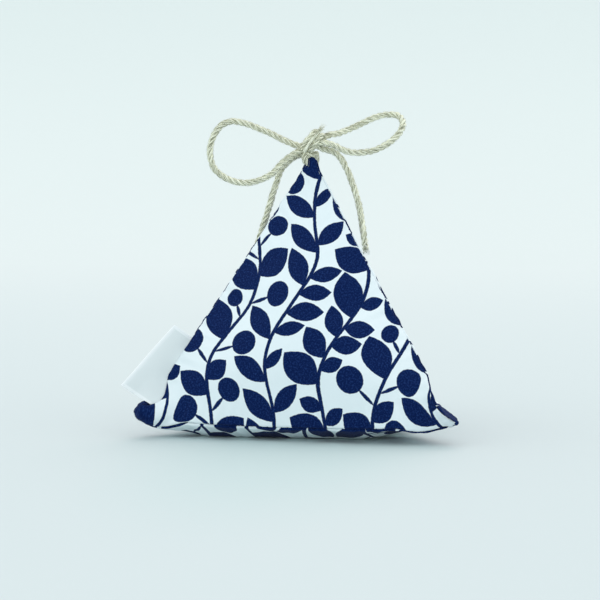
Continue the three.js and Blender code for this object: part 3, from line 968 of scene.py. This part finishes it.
def add_allowance(piece):
    with editing(piece, "EDGE"):
        bpy.ops.mesh.select_non_manifold(extend=False, use_boundary=True)
        bpy.ops.mesh.extrude_edges_move()
    points = mesh_points(piece.data)
    chosen = np.array([v.select for v in piece.data.vertices])
    edges = points[chosen]
    away = np.linalg.norm(edges[:, None] - CORNERS[None], axis=2) - TRIM_START
    length = ALLOWANCE * np.clip(away.min(axis=1) / TRIM_REACH, TRIM_LEAST, 1)
    points[chosen] = edges + unit(HEART - edges) * length[:, None]
    set_points(piece.data, points)


def set_on_table(piece):
    points = mesh_points(piece.data)
    z = points[:, 2]
    points[:, 2] = (z + np.sqrt(z * z + TABLE_SOFTNESS**2)) / 2
    set_points(piece.data, points)


for panel, piece in cloth_panels.items():
    add_allowance(piece)
    set_on_table(piece)
    apply_modifier(piece, "SOLIDIFY", thickness=CLOTH_THICKNESS * MM, offset=-1)
    bpy.ops.object.shade_smooth()
    stand_for(piece, "sachet", f"{panel}_panel")
print({piece.name: len(piece.data.polygons) for piece in cloth_panels.values()})

# %% [markdown]
# ## Seam threads
# Each seam is machine-sewn with navy thread. Only short glints of it show, deep in the
# groove between the turned edges, so a row of short stitches is laid there.

# %% Seam threads
STITCH = 2.3
STITCH_GAP = 0.8
STITCH_RADIUS = 0.15
STITCH_DEPTH = 1.7
STITCH_ARCH = 0.25
STITCH_POINTS = 6
STITCH_SIDES = 6
TABLE_ROOM = 0.1
SEAM_ENDS = {TIP_CORNER: 16.0, LEFT: 16.0, RIGHT: 16.0, REAR: 7.0}
SEAM_NODES = {
    (LEFT, TIP_CORNER): "thread_front_left",
    (RIGHT, TIP_CORNER): "thread_front_right",
    (REAR, TIP_CORNER): "thread_rear",
    (LEFT, RIGHT): "thread_base_front",
    (RIGHT, REAR): "thread_base_right",
    (LEFT, REAR): "thread_base_left",
}


def seam_side(a, b):
    """The edge that goes from corner a to corner b on the panel on its left."""
    for panel, corners in PANELS.items():
        for k in range(3):
            if (corners[k], corners[(k + 1) % 3]) == (a, b):
                return seam_sides[panel][k]


def stitch_row(a, b):
    """Stitches along one seam, each arched a little."""
    side = seam_side(a, b)
    room = EDGE - SEAM_ENDS[a] - SEAM_ENDS[b]
    t = np.linspace(0, 1, STITCH_POINTS)
    tubes = Tubes()
    for k in range(int(room / (STITCH + STITCH_GAP))):
        run = SEAM_ENDS[a] + k * (STITCH + STITCH_GAP) + STITCH * t
        ridge, _, inward, _, _ = side.at(run / EDGE)
        depth = STITCH_DEPTH - STITCH_ARCH * np.sin(np.pi * t)
        line = rounded(ridge + inward * depth[:, None])
        line[:, 2] = np.maximum(line[:, 2], STITCH_RADIUS + TABLE_ROOM)
        tubes.add(line, STITCH_RADIUS, STITCH_SIDES)
    return tubes


threads = []
for (a, b), node_name in SEAM_NODES.items():
    threads.append(stitch_row(a, b).make(node_name.replace("thread", "stitches")))
    stand_for(threads[-1], "sachet", node_name)
print("stitch rows:", len(threads))

# %% [markdown]
# ## Filling
# The buds press against the cloth from inside. They are hidden, so one lumpy body stands
# for them: the stuffed shape, drawn in, kept out of the corners, remeshed and roughened by a
# cell texture.

# %% Filling
FILL_INSET = 3.0
FILL_START = 16.0
FILL_VOXEL = 1.6
BUD_SIZE = 3.0
BUD_HEIGHT = 0.9

fill_mesh = bpy.data.meshes.new("lavender_buds")
fill_mesh.from_pydata((stuffed_points * MM).tolist(), [], stuffed_faces)
buds = bpy.data.objects.new("lavender_buds", fill_mesh)
bpy.context.collection.objects.link(buds)
with editing(buds):
    bpy.ops.mesh.normals_make_consistent(inside=False)
    bpy.ops.transform.shrink_fatten(value=-FILL_INSET * MM)
buds_points = mesh_points(buds.data)
buds_points[:, 2] = np.maximum(buds_points[:, 2], FILL_INSET)
for corner in CORNERS:
    into = unit(HEART - corner)
    short = np.clip(FILL_START - (buds_points - corner) @ into, 0, None)
    buds_points += np.outer(short, into)
set_points(buds.data, buds_points)
buds.data.remesh_voxel_size = FILL_VOXEL * MM
bpy.ops.object.voxel_remesh()
bud_texture = bpy.data.textures.new("bud_cells", "VORONOI")
bud_texture.noise_scale = BUD_SIZE * MM
apply_modifier(
    buds, "DISPLACE", texture=bud_texture, texture_coords="LOCAL", strength=-BUD_HEIGHT * MM, mid_level=0
)
bpy.ops.object.shade_smooth()
stand_for(buds, "sachet", "lavender_filling")
print("filling:", len(buds.data.polygons), "faces")

# %% [markdown]
# ## Label
# A white woven ribbon, 28.5 mm wide, is folded in two and its open end is sewn into the left
# front seam, a little askew. It is left bare. The fold starts as a section across the ribbon:
# out of the seam to the fold, round it and back.

# %% Label section
LABEL_LENGTH = 28.5
LABEL_WIDTH = 9.1
LABEL_ROOT = -1.8
LABEL_START = 5.6
LABEL_HALF = 0.32
LABEL_OPENING = 0.22
FOLD_STEPS = 10
LAYER_STEPS = 22


def bent_seam(run):
    """A point of the left front seam, by its run from the left corner."""
    t = run / EDGE
    draw = seam_draw(LEFT, TIP_CORNER)
    return CORNERS[LEFT] + (CORNERS[TIP_CORNER] - CORNERS[LEFT]) * t + draw * 4 * t * (1 - t)


label_low = bent_seam(LABEL_START)
label_high = bent_seam(LABEL_START + LABEL_LENGTH)
label_middle = bent_seam(LABEL_START + LABEL_LENGTH / 2)
label_along = unit(label_high - label_low)
label_out = label_middle - HEART
label_out = unit(label_out - label_along * (label_out @ label_along))
label_face = np.cross(label_along, label_out)


def ribbon_section():
    """Places across the folded ribbon, out from the seam and to either side."""
    straight = np.linspace(LABEL_ROOT, LABEL_WIDTH - LABEL_HALF, LAYER_STEPS)
    turn = np.linspace(-np.pi / 2, np.pi / 2, FOLD_STEPS + 2)[1:-1]
    open_up = LABEL_OPENING * np.sin(np.clip((straight - 0.5) / (LABEL_WIDTH - 1), 0, 1) * np.pi)
    near = np.stack([straight, -LABEL_HALF - open_up], axis=1)
    fold = np.stack([straight[-1] + LABEL_HALF * np.cos(turn), LABEL_HALF * np.sin(turn)], axis=1)
    far = np.stack([straight[::-1], LABEL_HALF + open_up[::-1]], axis=1)
    return np.vstack([near, fold, far])


section = ribbon_section()
ribbon_run = run_along(section)
print(f"label: {ribbon_run[-1]:.1f} mm of ribbon")

# %% [markdown]
# A grid becomes the ribbon: its columns follow the section and its rows the seam. The flap
# reaches further out at its lower end, curls back and waves a little. At the seam it follows
# the rounded corner. The map is measured from the fold, in metres.

# %% Label
RIBBON = 0.22
LABEL_STEPS = 44
LABEL_SLANT = 3.0
LABEL_CURL = 1.1
LABEL_WAVE = 0.35
WAVE_START = 0.6
LABEL_HOLD = 5.0
SHARP_EDGE = math.radians(50)
NEAR_END = LAYER_STEPS - 1
FAR_START = LAYER_STEPS + FOLD_STEPS

deselect_all()
bpy.ops.mesh.primitive_grid_add(x_subdivisions=len(section) - 1, y_subdivisions=LABEL_STEPS, size=2)
label = bpy.context.object
label.name = "side_label_ribbon"
grid = mesh_points(label.data) * MM
column = np.rint((grid[:, 0] + 1) / 2 * (len(section) - 1)).astype(int)
row = np.rint((grid[:, 1] + 1) / 2 * LABEL_STEPS).astype(int)
out, aside = section[column].T
along = row / LABEL_STEPS * LABEL_LENGTH
slant = LABEL_SLANT * (0.5 - along / LABEL_LENGTH)
flap = np.clip(out / LABEL_WIDTH, 0, 1)
wave = LABEL_WAVE * flap * np.sin(along / LABEL_LENGTH * 2 * np.pi + WAVE_START)
aside = aside - LABEL_CURL * flap**2 + wave
out = out + slant * flap
seam_line = label_low + np.outer(along, label_along)
label_points = seam_line + np.outer(out, label_out) + np.outer(aside, label_face)
label_points += (rounded(seam_line) - seam_line) * np.clip(1 - out / LABEL_HOLD, 0, 1)[:, None]
set_points(label.data, label_points)
label_map = label.data.uv_layers.active or label.data.uv_layers.new(name=CLOTH_MAP)
label_map.name = CLOTH_MAP
from_fold = section[NEAR_END, 0] + slant - (label_points - label_low) @ label_out
across = np.where(column <= NEAR_END, ribbon_run[NEAR_END] - from_fold, ribbon_run[column])
across = np.where(column >= FAR_START, ribbon_run[FAR_START] + from_fold, across)
for loop in label.data.loops:
    vertex = loop.vertex_index
    label_map.data[loop.index].uv = (along[vertex] * MM, across[vertex] * MM)
apply_modifier(label, "SOLIDIFY", thickness=RIBBON * MM, offset=0)
with editing(label):
    bpy.ops.mesh.normals_make_consistent(inside=False)
bpy.ops.object.shade_smooth_by_angle(angle=SHARP_EDGE)
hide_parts("side_label")
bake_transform(label)
print("label:", len(label.data.polygons), "faces")

# %% [markdown]
# ## Finishes
# Every finish is a Principled shader fed by procedural textures. Small helpers add a node,
# set it up and link or fill its inputs in order, so that a finish reads as a short recipe.

# %% Node helpers


def wire(tree, kind, values=(), out=0, **settings):
    """Adds a node, sets it up, links or fills its inputs and gives one of its outputs."""
    made = tree.nodes.new(kind)
    for name, value in settings.items():
        setattr(made, name, value)
    for socket, value in zip(made.inputs, values):
        if isinstance(value, bpy.types.NodeSocket):
            tree.links.new(value, socket)
        elif value is not None:
            socket.default_value = value
    return made.outputs[out]


def maths(tree, operation, *values):
    return wire(tree, "ShaderNodeMath", values, operation=operation)


def vectors(tree, operation, *values, out=0):
    return wire(tree, "ShaderNodeVectorMath", values, out, operation=operation)


def ramp(tree, value, *ends, soft=False):
    """A value's run between two ends, as a share or between two further ends."""
    kind = "SMOOTHSTEP" if soft else "LINEAR"
    return wire(tree, "ShaderNodeMapRange", (value, *ends), interpolation_type=kind)


def noise(tree, place, scale, detail, roughness=0.5, out=0):
    values = (place, None, scale, detail, roughness)
    return wire(tree, "ShaderNodeTexNoise", values, out, noise_dimensions="2D")


def mixed(tree, share, first, second, blend="MIX"):
    """A colour that turns into a second one by a share from 0 to 1."""
    values = (share, None, None, None, None, None, first, second)
    return wire(tree, "ShaderNodeMix", values, 2, data_type="RGBA", blend_type=blend)


def new_finish(name, roughness, sheen=0.0, specular=0.3):
    finish = bpy.data.materials.new(name)
    finish.use_nodes = True
    shader = finish.node_tree.nodes["Principled BSDF"]
    shader.inputs["Roughness"].default_value = roughness
    shader.inputs["Sheen Weight"].default_value = sheen
    shader.inputs["Specular IOR Level"].default_value = specular
    return finish, finish.node_tree, shader


def cloth_place(tree):
    return wire(tree, "ShaderNodeUVMap", uv_map=CLOTH_MAP)


def object_place(tree):
    return wire(tree, "ShaderNodeTexCoord", out=3)


def paint(tree, shader, shade):
    tree.links.new(shade, shader.inputs["Base Color"])


def emboss(tree, shader, height, strength, distance):
    """Raises the surface by a height's share of a distance in mm."""
    bump = wire(tree, "ShaderNodeBump", (strength, distance * MM))
    tree.links.new(height, bump.node.inputs["Height"])
    tree.links.new(bump, shader.inputs["Normal"])


def dress(finish, *pieces):
    for piece in pieces:
        piece.data.materials.clear()
        piece.data.materials.append(finish)
    print(finish.name, "has", len(finish.node_tree.nodes), "nodes and covers", len(pieces), "pieces")


print("finishes read the map", CLOTH_MAP)

# %% [markdown]
# ## Printed cotton
# The cloth is white brushed cotton with a dense navy print of leafy sprigs: wavy stems
# with broad leaves, stems with narrow paired leaves, and stems with berries. The print is
# drawn by formula on the flat cloth. A leaf is a pointed lens, 1 - a^2 - |b| in its own
# direction, and a berry a disc. Each is wrapped round its own centre, so that it repeats
# over the cloth, and the largest value at a place decides whether ink lies there.

# %% Leaf shapes
REPEAT = 60.0
STEM_HALF = 0.7
LEAF_FOOT = -0.6
OUTLINE_POINTS = 15
VINES = [
    {"at": 20, "sway": 3.8, "phase": 0.7, "step": 10, "lean": 53, "leaf": (7.2, 4.8), "berry": 4.2},
    {"at": 0, "sway": 4.2, "phase": 0.0, "step": 8.6, "lean": 53, "leaf": (7.6, 4.8), "berry": None},
    {"at": 40, "sway": 4.0, "phase": -0.5, "step": 6.667, "lean": 50, "leaf": (8.0, 3.8), "berry": None},
]


def wrapped(value, centre):
    return (value - centre + REPEAT / 2) % REPEAT - REPEAT / 2


def stem_place(vine, v):
    return vine["at"] + vine["sway"] * np.sin(2 * np.pi * v / REPEAT + vine["phase"])


def stem_angle(vine, v):
    slope = vine["sway"] * math.cos(2 * math.pi * v / REPEAT + vine["phase"])
    return math.atan2(1, slope * 2 * math.pi / REPEAT)


def inside_stem(vine, x, y):
    return STEM_HALF - np.abs(wrapped(x - stem_place(vine, y), 0))


def inside_shape(shape, x, y):
    """How far places lie inside a leaf or berry, in mm, and below 0 outside."""
    kind, (centre_x, centre_y), angle, half, width = shape
    dx, dy = wrapped(x, centre_x), wrapped(y, centre_y)
    a = (dx * math.cos(angle) + dy * math.sin(angle)) / half
    b = (dy * math.cos(angle) - dx * math.sin(angle)) / width
    return width * (1 - a * a - np.abs(b)) if kind == "leaf" else width / 2 * (1 - a * a - b * b)


def outline(shape):
    """Places round a leaf or berry, without the leaf's foot."""
    kind, (centre_x, centre_y), angle, half, width = shape
    t = np.linspace(LEAF_FOOT if kind == "leaf" else -1, 1, OUTLINE_POINTS)
    if kind == "leaf":
        a, b = np.concatenate([t, t]), np.concatenate([1 - t * t, t * t - 1])
    else:
        a, b = np.cos(np.pi * t), np.sin(np.pi * t)
    x = centre_x + half * a * math.cos(angle) - width * b * math.sin(angle)
    y = centre_y + half * a * math.sin(angle) + width * b * math.cos(angle)
    return x, y


print("stems:", len(VINES), "in", REPEAT, "mm")

# %% [markdown]
# Leaves grow from a stem by turns to the left and right, and on one stem every other leaf is
# a berry on its stalk. Each is drawn smaller until it stands clear of what is already there.

# %% Leaf layout
PRINT_CLEAR = 0.25
PRINT_SEED = 21
SPRIG_PLAY = 0.4
LEAN_PLAY = 7
LEAF_SIZES = (0.95, 1.1)
LEAF_LEAST = 0.5
LEAF_STEP = 0.06
LEAF_GAP = 0.2
BERRY_SET = 0.8
STALK = (3.8, 0.66)


def sprig(vine, v, angle, size, with_berry):
    """A leaf, or a berry on its stalk, that grows from a stem at v."""
    half, width = STALK if with_berry else vine["leaf"]
    half = half * size
    along = lambda reach: (
        float(stem_place(vine, v)) + reach * math.cos(angle),
        v + reach * math.sin(angle),
    )
    if not with_berry:
        return [("leaf", along(half + LEAF_GAP), angle, half, width * size)]
    radius = vine["berry"] * size
    return [
        ("leaf", along(half + LEAF_GAP), angle, half, width),
        ("berry", along(2 * half + BERRY_SET * radius), 0.0, radius, radius),
    ]


def stands_clear(new, shapes, vine):
    for shape in new:
        x, y = outline(shape)
        if any(inside_stem(other, x, y).max() > -PRINT_CLEAR for other in VINES if other is not vine):
            return False
        if any(inside_shape(other, x, y).max() > -PRINT_CLEAR for other in shapes):
            return False
    return True


def sprig_shapes():
    """Leaves and berries of one repeat, each drawn smaller until it stands clear."""
    dice = random.Random(PRINT_SEED)
    shapes = []
    for vine in VINES:
        for k in range(round(REPEAT / vine["step"])):
            for hand in (-1, 1):
                play = dice.uniform(-SPRIG_PLAY, SPRIG_PLAY)
                v = (k + (0.25 if hand > 0 else 0.75)) * vine["step"] + play
                lean = math.radians(vine["lean"] + dice.uniform(-LEAN_PLAY, LEAN_PLAY))
                angle = stem_angle(vine, v) - hand * lean
                with_berry = bool(vine["berry"]) and k % 2 == (0 if hand > 0 else 1)
                for size in np.arange(dice.uniform(*LEAF_SIZES), LEAF_LEAST, -LEAF_STEP):
                    new = sprig(vine, v, angle, float(size), with_berry)
                    if stands_clear(new, shapes, vine):
                        shapes += new
                        break
    return shapes


print("leaf layout:", len(sprig_shapes()), "leaves and berries in one repeat")

# %% [markdown]
# The same formulas become nodes. The cloth's place is shifted a little by two noises, a wide
# one that bends the sprigs and a fine one that frays the ink's edge.

# %% Leaf print
INK_EDGE = 0.13
PRINT_SHIFTS = ((26.0, 2.6), (0.9, 0.24))


def stem_ink(group, vine, across, upward):
    """How far a place lies inside a stem, in mm."""
    wave = maths(group, "SINE", maths(group, "MULTIPLY_ADD", upward, 2 * math.pi / REPEAT, vine["phase"]))
    line = maths(group, "MULTIPLY_ADD", wave, -vine["sway"], across)
    line = maths(group, "WRAP", line, vine["at"] + REPEAT / 2, vine["at"] - REPEAT / 2)
    line = maths(group, "ABSOLUTE", maths(group, "ADD", line, -vine["at"]))
    return maths(group, "SUBTRACT", STEM_HALF, line)


def shape_ink(group, shape, place):
    """How far a place lies inside a leaf or berry, in mm."""
    kind, (x, y), angle, half, width = shape
    high = (x + REPEAT / 2, y + REPEAT / 2, 1)
    low = (x - REPEAT / 2, y - REPEAT / 2, -1)
    lay = (vectors(group, "WRAP", place, high, low), (x, y, -1), (0, 0, angle), (half, width, 1))
    local = wire(group, "ShaderNodeMapping", lay, vector_type="TEXTURE")
    slope, rest = (-width / 2, -width / 2, 0), (0, 0, width / 2)
    if kind == "leaf":
        local = vectors(group, "ABSOLUTE", local)
        slope, rest = (-width, 0, 0), (0, -width, width)
    sized = vectors(group, "MULTIPLY_ADD", local, slope, rest)
    return vectors(group, "DOT_PRODUCT", local, sized, out=1)


def leaf_print_group():
    """A node group that gives the ink at a place of the flat cloth."""
    group = bpy.data.node_groups.new("leaf_print", "ShaderNodeTree")
    group.interface.new_socket("Cloth", in_out="INPUT", socket_type="NodeSocketVector")
    group.interface.new_socket("Ink", in_out="OUTPUT", socket_type="NodeSocketFloat")
    cloth = wire(group, "NodeGroupInput")
    place = vectors(group, "MULTIPLY", cloth, (1 / MM, 1 / MM, 0))
    for wavelength, amount in PRINT_SHIFTS:
        shift = noise(group, cloth, 1 / (wavelength * MM), detail=1.0, out=1)
        shift = vectors(group, "ADD", shift, (-0.5, -0.5, -0.5))
        place = vectors(group, "MULTIPLY_ADD", shift, (amount, amount, 0), place)
    across, upward, _ = wire(group, "ShaderNodeSeparateXYZ", (place,)).node.outputs
    inks = [stem_ink(group, vine, across, upward) for vine in VINES]
    inks += [shape_ink(group, shape, place) for shape in sprig_shapes()]
    ink = inks[0]
    for other in inks[1:]:
        ink = maths(group, "MAXIMUM", ink, other)
    ink = ramp(group, ink, -INK_EDGE, INK_EDGE, soft=True)
    group.links.new(ink, group.nodes.new("NodeGroupOutput").inputs["Ink"])
    return group


leaf_print = leaf_print_group()
print("leaf print:", len(leaf_print.nodes), "nodes")

# %% [markdown]
# Brushed cotton is soft and matt. Short white fibres cover it, so the ink shows lighter
# flecks, and the nap gives a fine bump and a weak sheen.

# %% Printed cotton
CLOTH_WHITE = (0.826, 0.902, 0.942, 1)
INK_NAVY = (0.0012, 0.0105, 0.069, 1)
INK_WORN = (0.014, 0.042, 0.165, 1)
FLECKS = 1700.0
FLECK_RANGE = (0.46, 0.72)
FLECK_MOST = 0.8
NAP = 2600.0


def printed_cotton():
    finish, tree, shader = new_finish("printed_cotton", roughness=0.95, sheen=0.06, specular=0.06)
    place = cloth_place(tree)
    ink = wire(tree, "ShaderNodeGroup", (place,), node_tree=leaf_print)
    fleck = noise(tree, place, FLECKS, detail=3.0, roughness=0.6)
    worn = ramp(tree, fleck, *FLECK_RANGE, 0.0, FLECK_MOST)
    navy = mixed(tree, worn, INK_NAVY, INK_WORN)
    paint(tree, shader, mixed(tree, ink, CLOTH_WHITE, navy))
    nap = noise(tree, place, NAP, detail=4.0, roughness=0.65)
    emboss(tree, shader, nap, strength=0.35, distance=0.25)
    return finish


dress(printed_cotton(), *cloth_panels.values())

# %% [markdown]
# ## Other finishes
# Jute fibres run along each ply, so one noise is drawn out along the map. It sets the tone from dark gaps
# to pale fibres and raises the bump. The dark end is painted shade in the gaps between fibres, together
# with the fibres' own uneven tone.

# %% Jute
JUTE_LIGHT = (0.98, 0.985, 0.81, 1)
# the fibres' own dark tone and painted shade in the gaps between them
JUTE_DARK_AND_GAP_SHADE = (0.21, 0.215, 0.13, 1)
JUTE_RANGE = (0.325, 0.57)
JUTE_DRAW = (170.0, 5200.0, 1)


def jute():
    finish, tree, shader = new_finish("pale_jute", roughness=0.85, sheen=0.1, specular=0.2)
    drawn = wire(tree, "ShaderNodeMapping", (cloth_place(tree), None, None, JUTE_DRAW))
    fibre = noise(tree, drawn, scale=1.0, detail=3.0, roughness=0.6)
    paint(tree, shader, mixed(tree, ramp(tree, fibre, *JUTE_RANGE), JUTE_DARK_AND_GAP_SHADE, JUTE_LIGHT))
    emboss(tree, shader, fibre, strength=0.6, distance=0.2)
    return finish


dress(jute(), *strands.values())

# %% [markdown]
# The ribbon has fine ribs across it and is lighter along its thick woven rims. At the fold a painted
# highlight lightens it, as if the fold caught the light.

# %% Ribbon
RIBBON_FACE = (0.77, 0.82, 0.84, 1)
# colour of the woven rims, also used for the painted highlight at the fold
RIBBON_RIM_AND_HIGHLIGHT = (0.90, 0.93, 0.955, 1)
RIM_STARTS = (1.3, 0.9)
FOLD_HIGHLIGHT_REACH = (0.4, 1.6)
RIBS_PER_M = 2800
RIM_HEIGHT = 3.0


def from_middle(tree, place, length):
    """How far a place lies from the middle of a length."""
    return maths(tree, "ABSOLUTE", maths(tree, "ADD", place, -length * MM / 2))


def ribbon():
    finish, tree, shader = new_finish("white_ribbon", roughness=0.55, sheen=0.1, specular=0.3)
    along, across, _ = wire(tree, "ShaderNodeSeparateXYZ", (cloth_place(tree),)).node.outputs
    rims = [(LABEL_LENGTH / 2 - start) * MM for start in RIM_STARTS]
    rim = ramp(tree, from_middle(tree, along, LABEL_LENGTH), *rims)
    # painted highlight along the fold
    painted_fold_highlight = [reach * MM for reach in FOLD_HIGHLIGHT_REACH]
    painted_fold_highlight = ramp(tree, from_middle(tree, across, ribbon_run[-1]), *painted_fold_highlight, 1.0, 0.0)
    paint(tree, shader, mixed(tree, maths(tree, "MAXIMUM", rim, painted_fold_highlight), RIBBON_FACE, RIBBON_RIM_AND_HIGHLIGHT))
    rib = maths(tree, "SINE", maths(tree, "MULTIPLY", across, 2 * math.pi * RIBS_PER_M))
    raised = maths(tree, "MULTIPLY_ADD", rim, RIM_HEIGHT, rib)
    emboss(tree, shader, raised, strength=0.3, distance=0.08)
    return finish


dress(ribbon(), label)

# %% [markdown]
# The thread's twist is a fine checker, and its navy is a little uneven.

# %% Thread
THREAD_NAVY = (0.01, 0.022, 0.09)
THREAD_CLOUDS = 900.0
THREAD_TONES = (0.3, 0.7, 0.96, 1.0)
TWISTS_PER_M = 9000.0
WHITE, BLACK = (1, 1, 1, 1), (0, 0, 0, 1)


def navy_thread():
    finish, tree, shader = new_finish("navy_thread", roughness=0.6, sheen=0.1, specular=0.3)
    place = cloth_place(tree)
    scaled = wire(tree, "ShaderNodeMapping", (place, None, None, (TWISTS_PER_M, TWISTS_PER_M, 1)))
    twist = wire(tree, "ShaderNodeTexChecker", (scaled, WHITE, BLACK, 1.0), out=1)
    tone = ramp(tree, noise(tree, place, THREAD_CLOUDS, detail=3.0), *THREAD_TONES)
    paint(tree, shader, vectors(tree, "MULTIPLY", THREAD_NAVY, tone))
    emboss(tree, shader, twist, strength=0.25, distance=0.1)
    return finish


dress(navy_thread(), *threads)

# %% [markdown]
# Dried buds differ from one another, so each cell of a cell texture has its own tone.

# %% Buds
BUD_DARK = (0.10, 0.085, 0.17, 1)
BUD_LIGHT = (0.24, 0.20, 0.28, 1)
BUDS_PER_M = 400.0


def dried_buds():
    finish, tree, shader = new_finish("dried_buds", roughness=0.9, sheen=0.1)
    cells = wire(tree, "ShaderNodeTexVoronoi", (object_place(tree), None, BUDS_PER_M), out=1)
    tone = wire(tree, "ShaderNodeSeparateColor", (cells,))
    paint(tree, shader, mixed(tree, tone, BUD_DARK, BUD_LIGHT))
    return finish


dress(dried_buds(), buds)

# %% [markdown]
# ## Studio
# The photograph's background is one pale sheet of paper. A plane's far edge is pulled up and
# rounded, so that no line shows behind the pouch.

# %% Sweep
SWEEP_SIZE = 6.0
SWEEP_BACK = 2.4
SWEEP_HEIGHT = 1.25
SWEEP_RADIUS = 1.2
SWEEP_STEPS = 24
NEAR = 0.01

deselect_all()
bpy.ops.mesh.primitive_plane_add(size=SWEEP_SIZE, location=(0, SWEEP_BACK - SWEEP_SIZE / 2, 0))
sweep = bpy.context.object
sweep.name = "studio_sweep"
bpy.ops.object.transform_apply(location=True, rotation=True, scale=True)


def edges_where(piece, wanted):
    """Says of each edge whether both of its ends are wanted."""
    places = [vertex.co for vertex in piece.data.vertices]
    return [all(wanted(places[v]) for v in edge.vertices) for edge in piece.data.edges]


far_edge = edges_where(sweep, lambda place: place.y > SWEEP_BACK - NEAR)
with editing(sweep, "EDGE", far_edge):
    bpy.ops.mesh.extrude_edges_move(TRANSFORM_OT_translate={"value": (0, 0, SWEEP_HEIGHT)})
corner_edge = edges_where(sweep, lambda place: place.y > SWEEP_BACK - NEAR and place.z < NEAR)
with editing(sweep, "EDGE", corner_edge):
    bpy.ops.mesh.bevel(offset=SWEEP_RADIUS, segments=SWEEP_STEPS, profile=0.5)
bpy.ops.object.shade_smooth()
print("sweep:", len(sweep.data.polygons), "faces")

# %% [markdown]
# The paper is one pale sheet. Its colour holds painted light: it is lighter further back and a little
# darker up the wall, as the light falls there. Near the pouch a painted bluish shadow darkens it,
# standing for shade and the cloth's bounced blue.

# %% Paper
# painted light falloff: the same paper, painted lighter further back and a little darker up the wall
PAPER_NEAR = (0.613, 0.689, 0.699, 1)
PAPER_FAR = (0.775, 0.821, 0.814, 1)
PAPER_HIGH = (0.756, 0.803, 0.797, 1)
# painted bluish shadow on the paper round the pouch's foot and in front of it
PAINTED_PAPER_SHADOW = (0.915, 0.975, 0.968, 1)
PAPER_DEPTHS = (-0.3, 2.1)
PAPER_HEIGHTS = (0.1, 0.5)
PAINTED_SHADOW_PLACE = (0.002, -0.045, 0)
PAINTED_SHADOW_REACH = (0.058, 0.15)
PAINTED_SHADOW_FADE = (1.15, 0.25)


def studio_paper():
    finish, tree, shader = new_finish("studio_paper", roughness=1.0, specular=0.0)
    place = object_place(tree)
    _, depth, height = wire(tree, "ShaderNodeSeparateXYZ", (place,)).node.outputs
    # painted falloff of the light with depth and height
    paper_with_painted_falloff = mixed(tree, ramp(tree, depth, *PAPER_DEPTHS, soft=True), PAPER_NEAR, PAPER_FAR)
    shade = mixed(tree, ramp(tree, height, *PAPER_HEIGHTS, soft=True), paper_with_painted_falloff, PAPER_HIGH)
    # painted shadow, darkest near the pouch and fading with distance
    offset = vectors(tree, "SUBTRACT", place, PAINTED_SHADOW_PLACE)
    offset = vectors(tree, "MULTIPLY", offset, (1 / PAINTED_SHADOW_REACH[0], 1 / PAINTED_SHADOW_REACH[1], 0))
    painted_shadow_share = ramp(tree, vectors(tree, "LENGTH", offset, out=1), *PAINTED_SHADOW_FADE, soft=True)
    paint(tree, shader, mixed(tree, painted_shadow_share, shade, PAINTED_PAPER_SHADOW, "MULTIPLY"))
    return finish


dress(studio_paper(), sweep)

# %% [markdown]
# The light is an even bright surround and one large, soft and warm lamp from behind at the right, which
# draws a weak bluish shadow in front of the pouch. The paper's painted shadow deepens it.

# %% Light
SURROUND_COLOUR = (0.91, 0.99, 1, 1)
SURROUND_STRENGTH = 1.11
SUN_AZIMUTH = math.radians(165)
SUN_ELEVATION = math.radians(55)
SUN_ENERGY = 0.73
SUN_COLOUR = (1, 0.63, 0.63)
SUN_SPREAD = math.radians(60)

world = bpy.data.worlds.new("studio")
world.use_nodes = True
surround = world.node_tree.nodes["Background"].inputs
surround["Color"].default_value = SURROUND_COLOUR
surround["Strength"].default_value = SURROUND_STRENGTH
bpy.context.scene.world = world

towards_sun = way_to(SUN_AZIMUTH, SUN_ELEVATION)
bpy.ops.object.light_add(
    type="SUN",
    location=towards_sun * 2,
    rotation=towards_sun.to_track_quat("Z", "Y").to_euler(),
)
sun = bpy.context.object
sun.name = "soft_key"
sun.data.energy = SUN_ENERGY
sun.data.color = SUN_COLOUR
sun.data.angle = SUN_SPREAD
bpy.context.scene.view_settings.view_transform = "Standard"
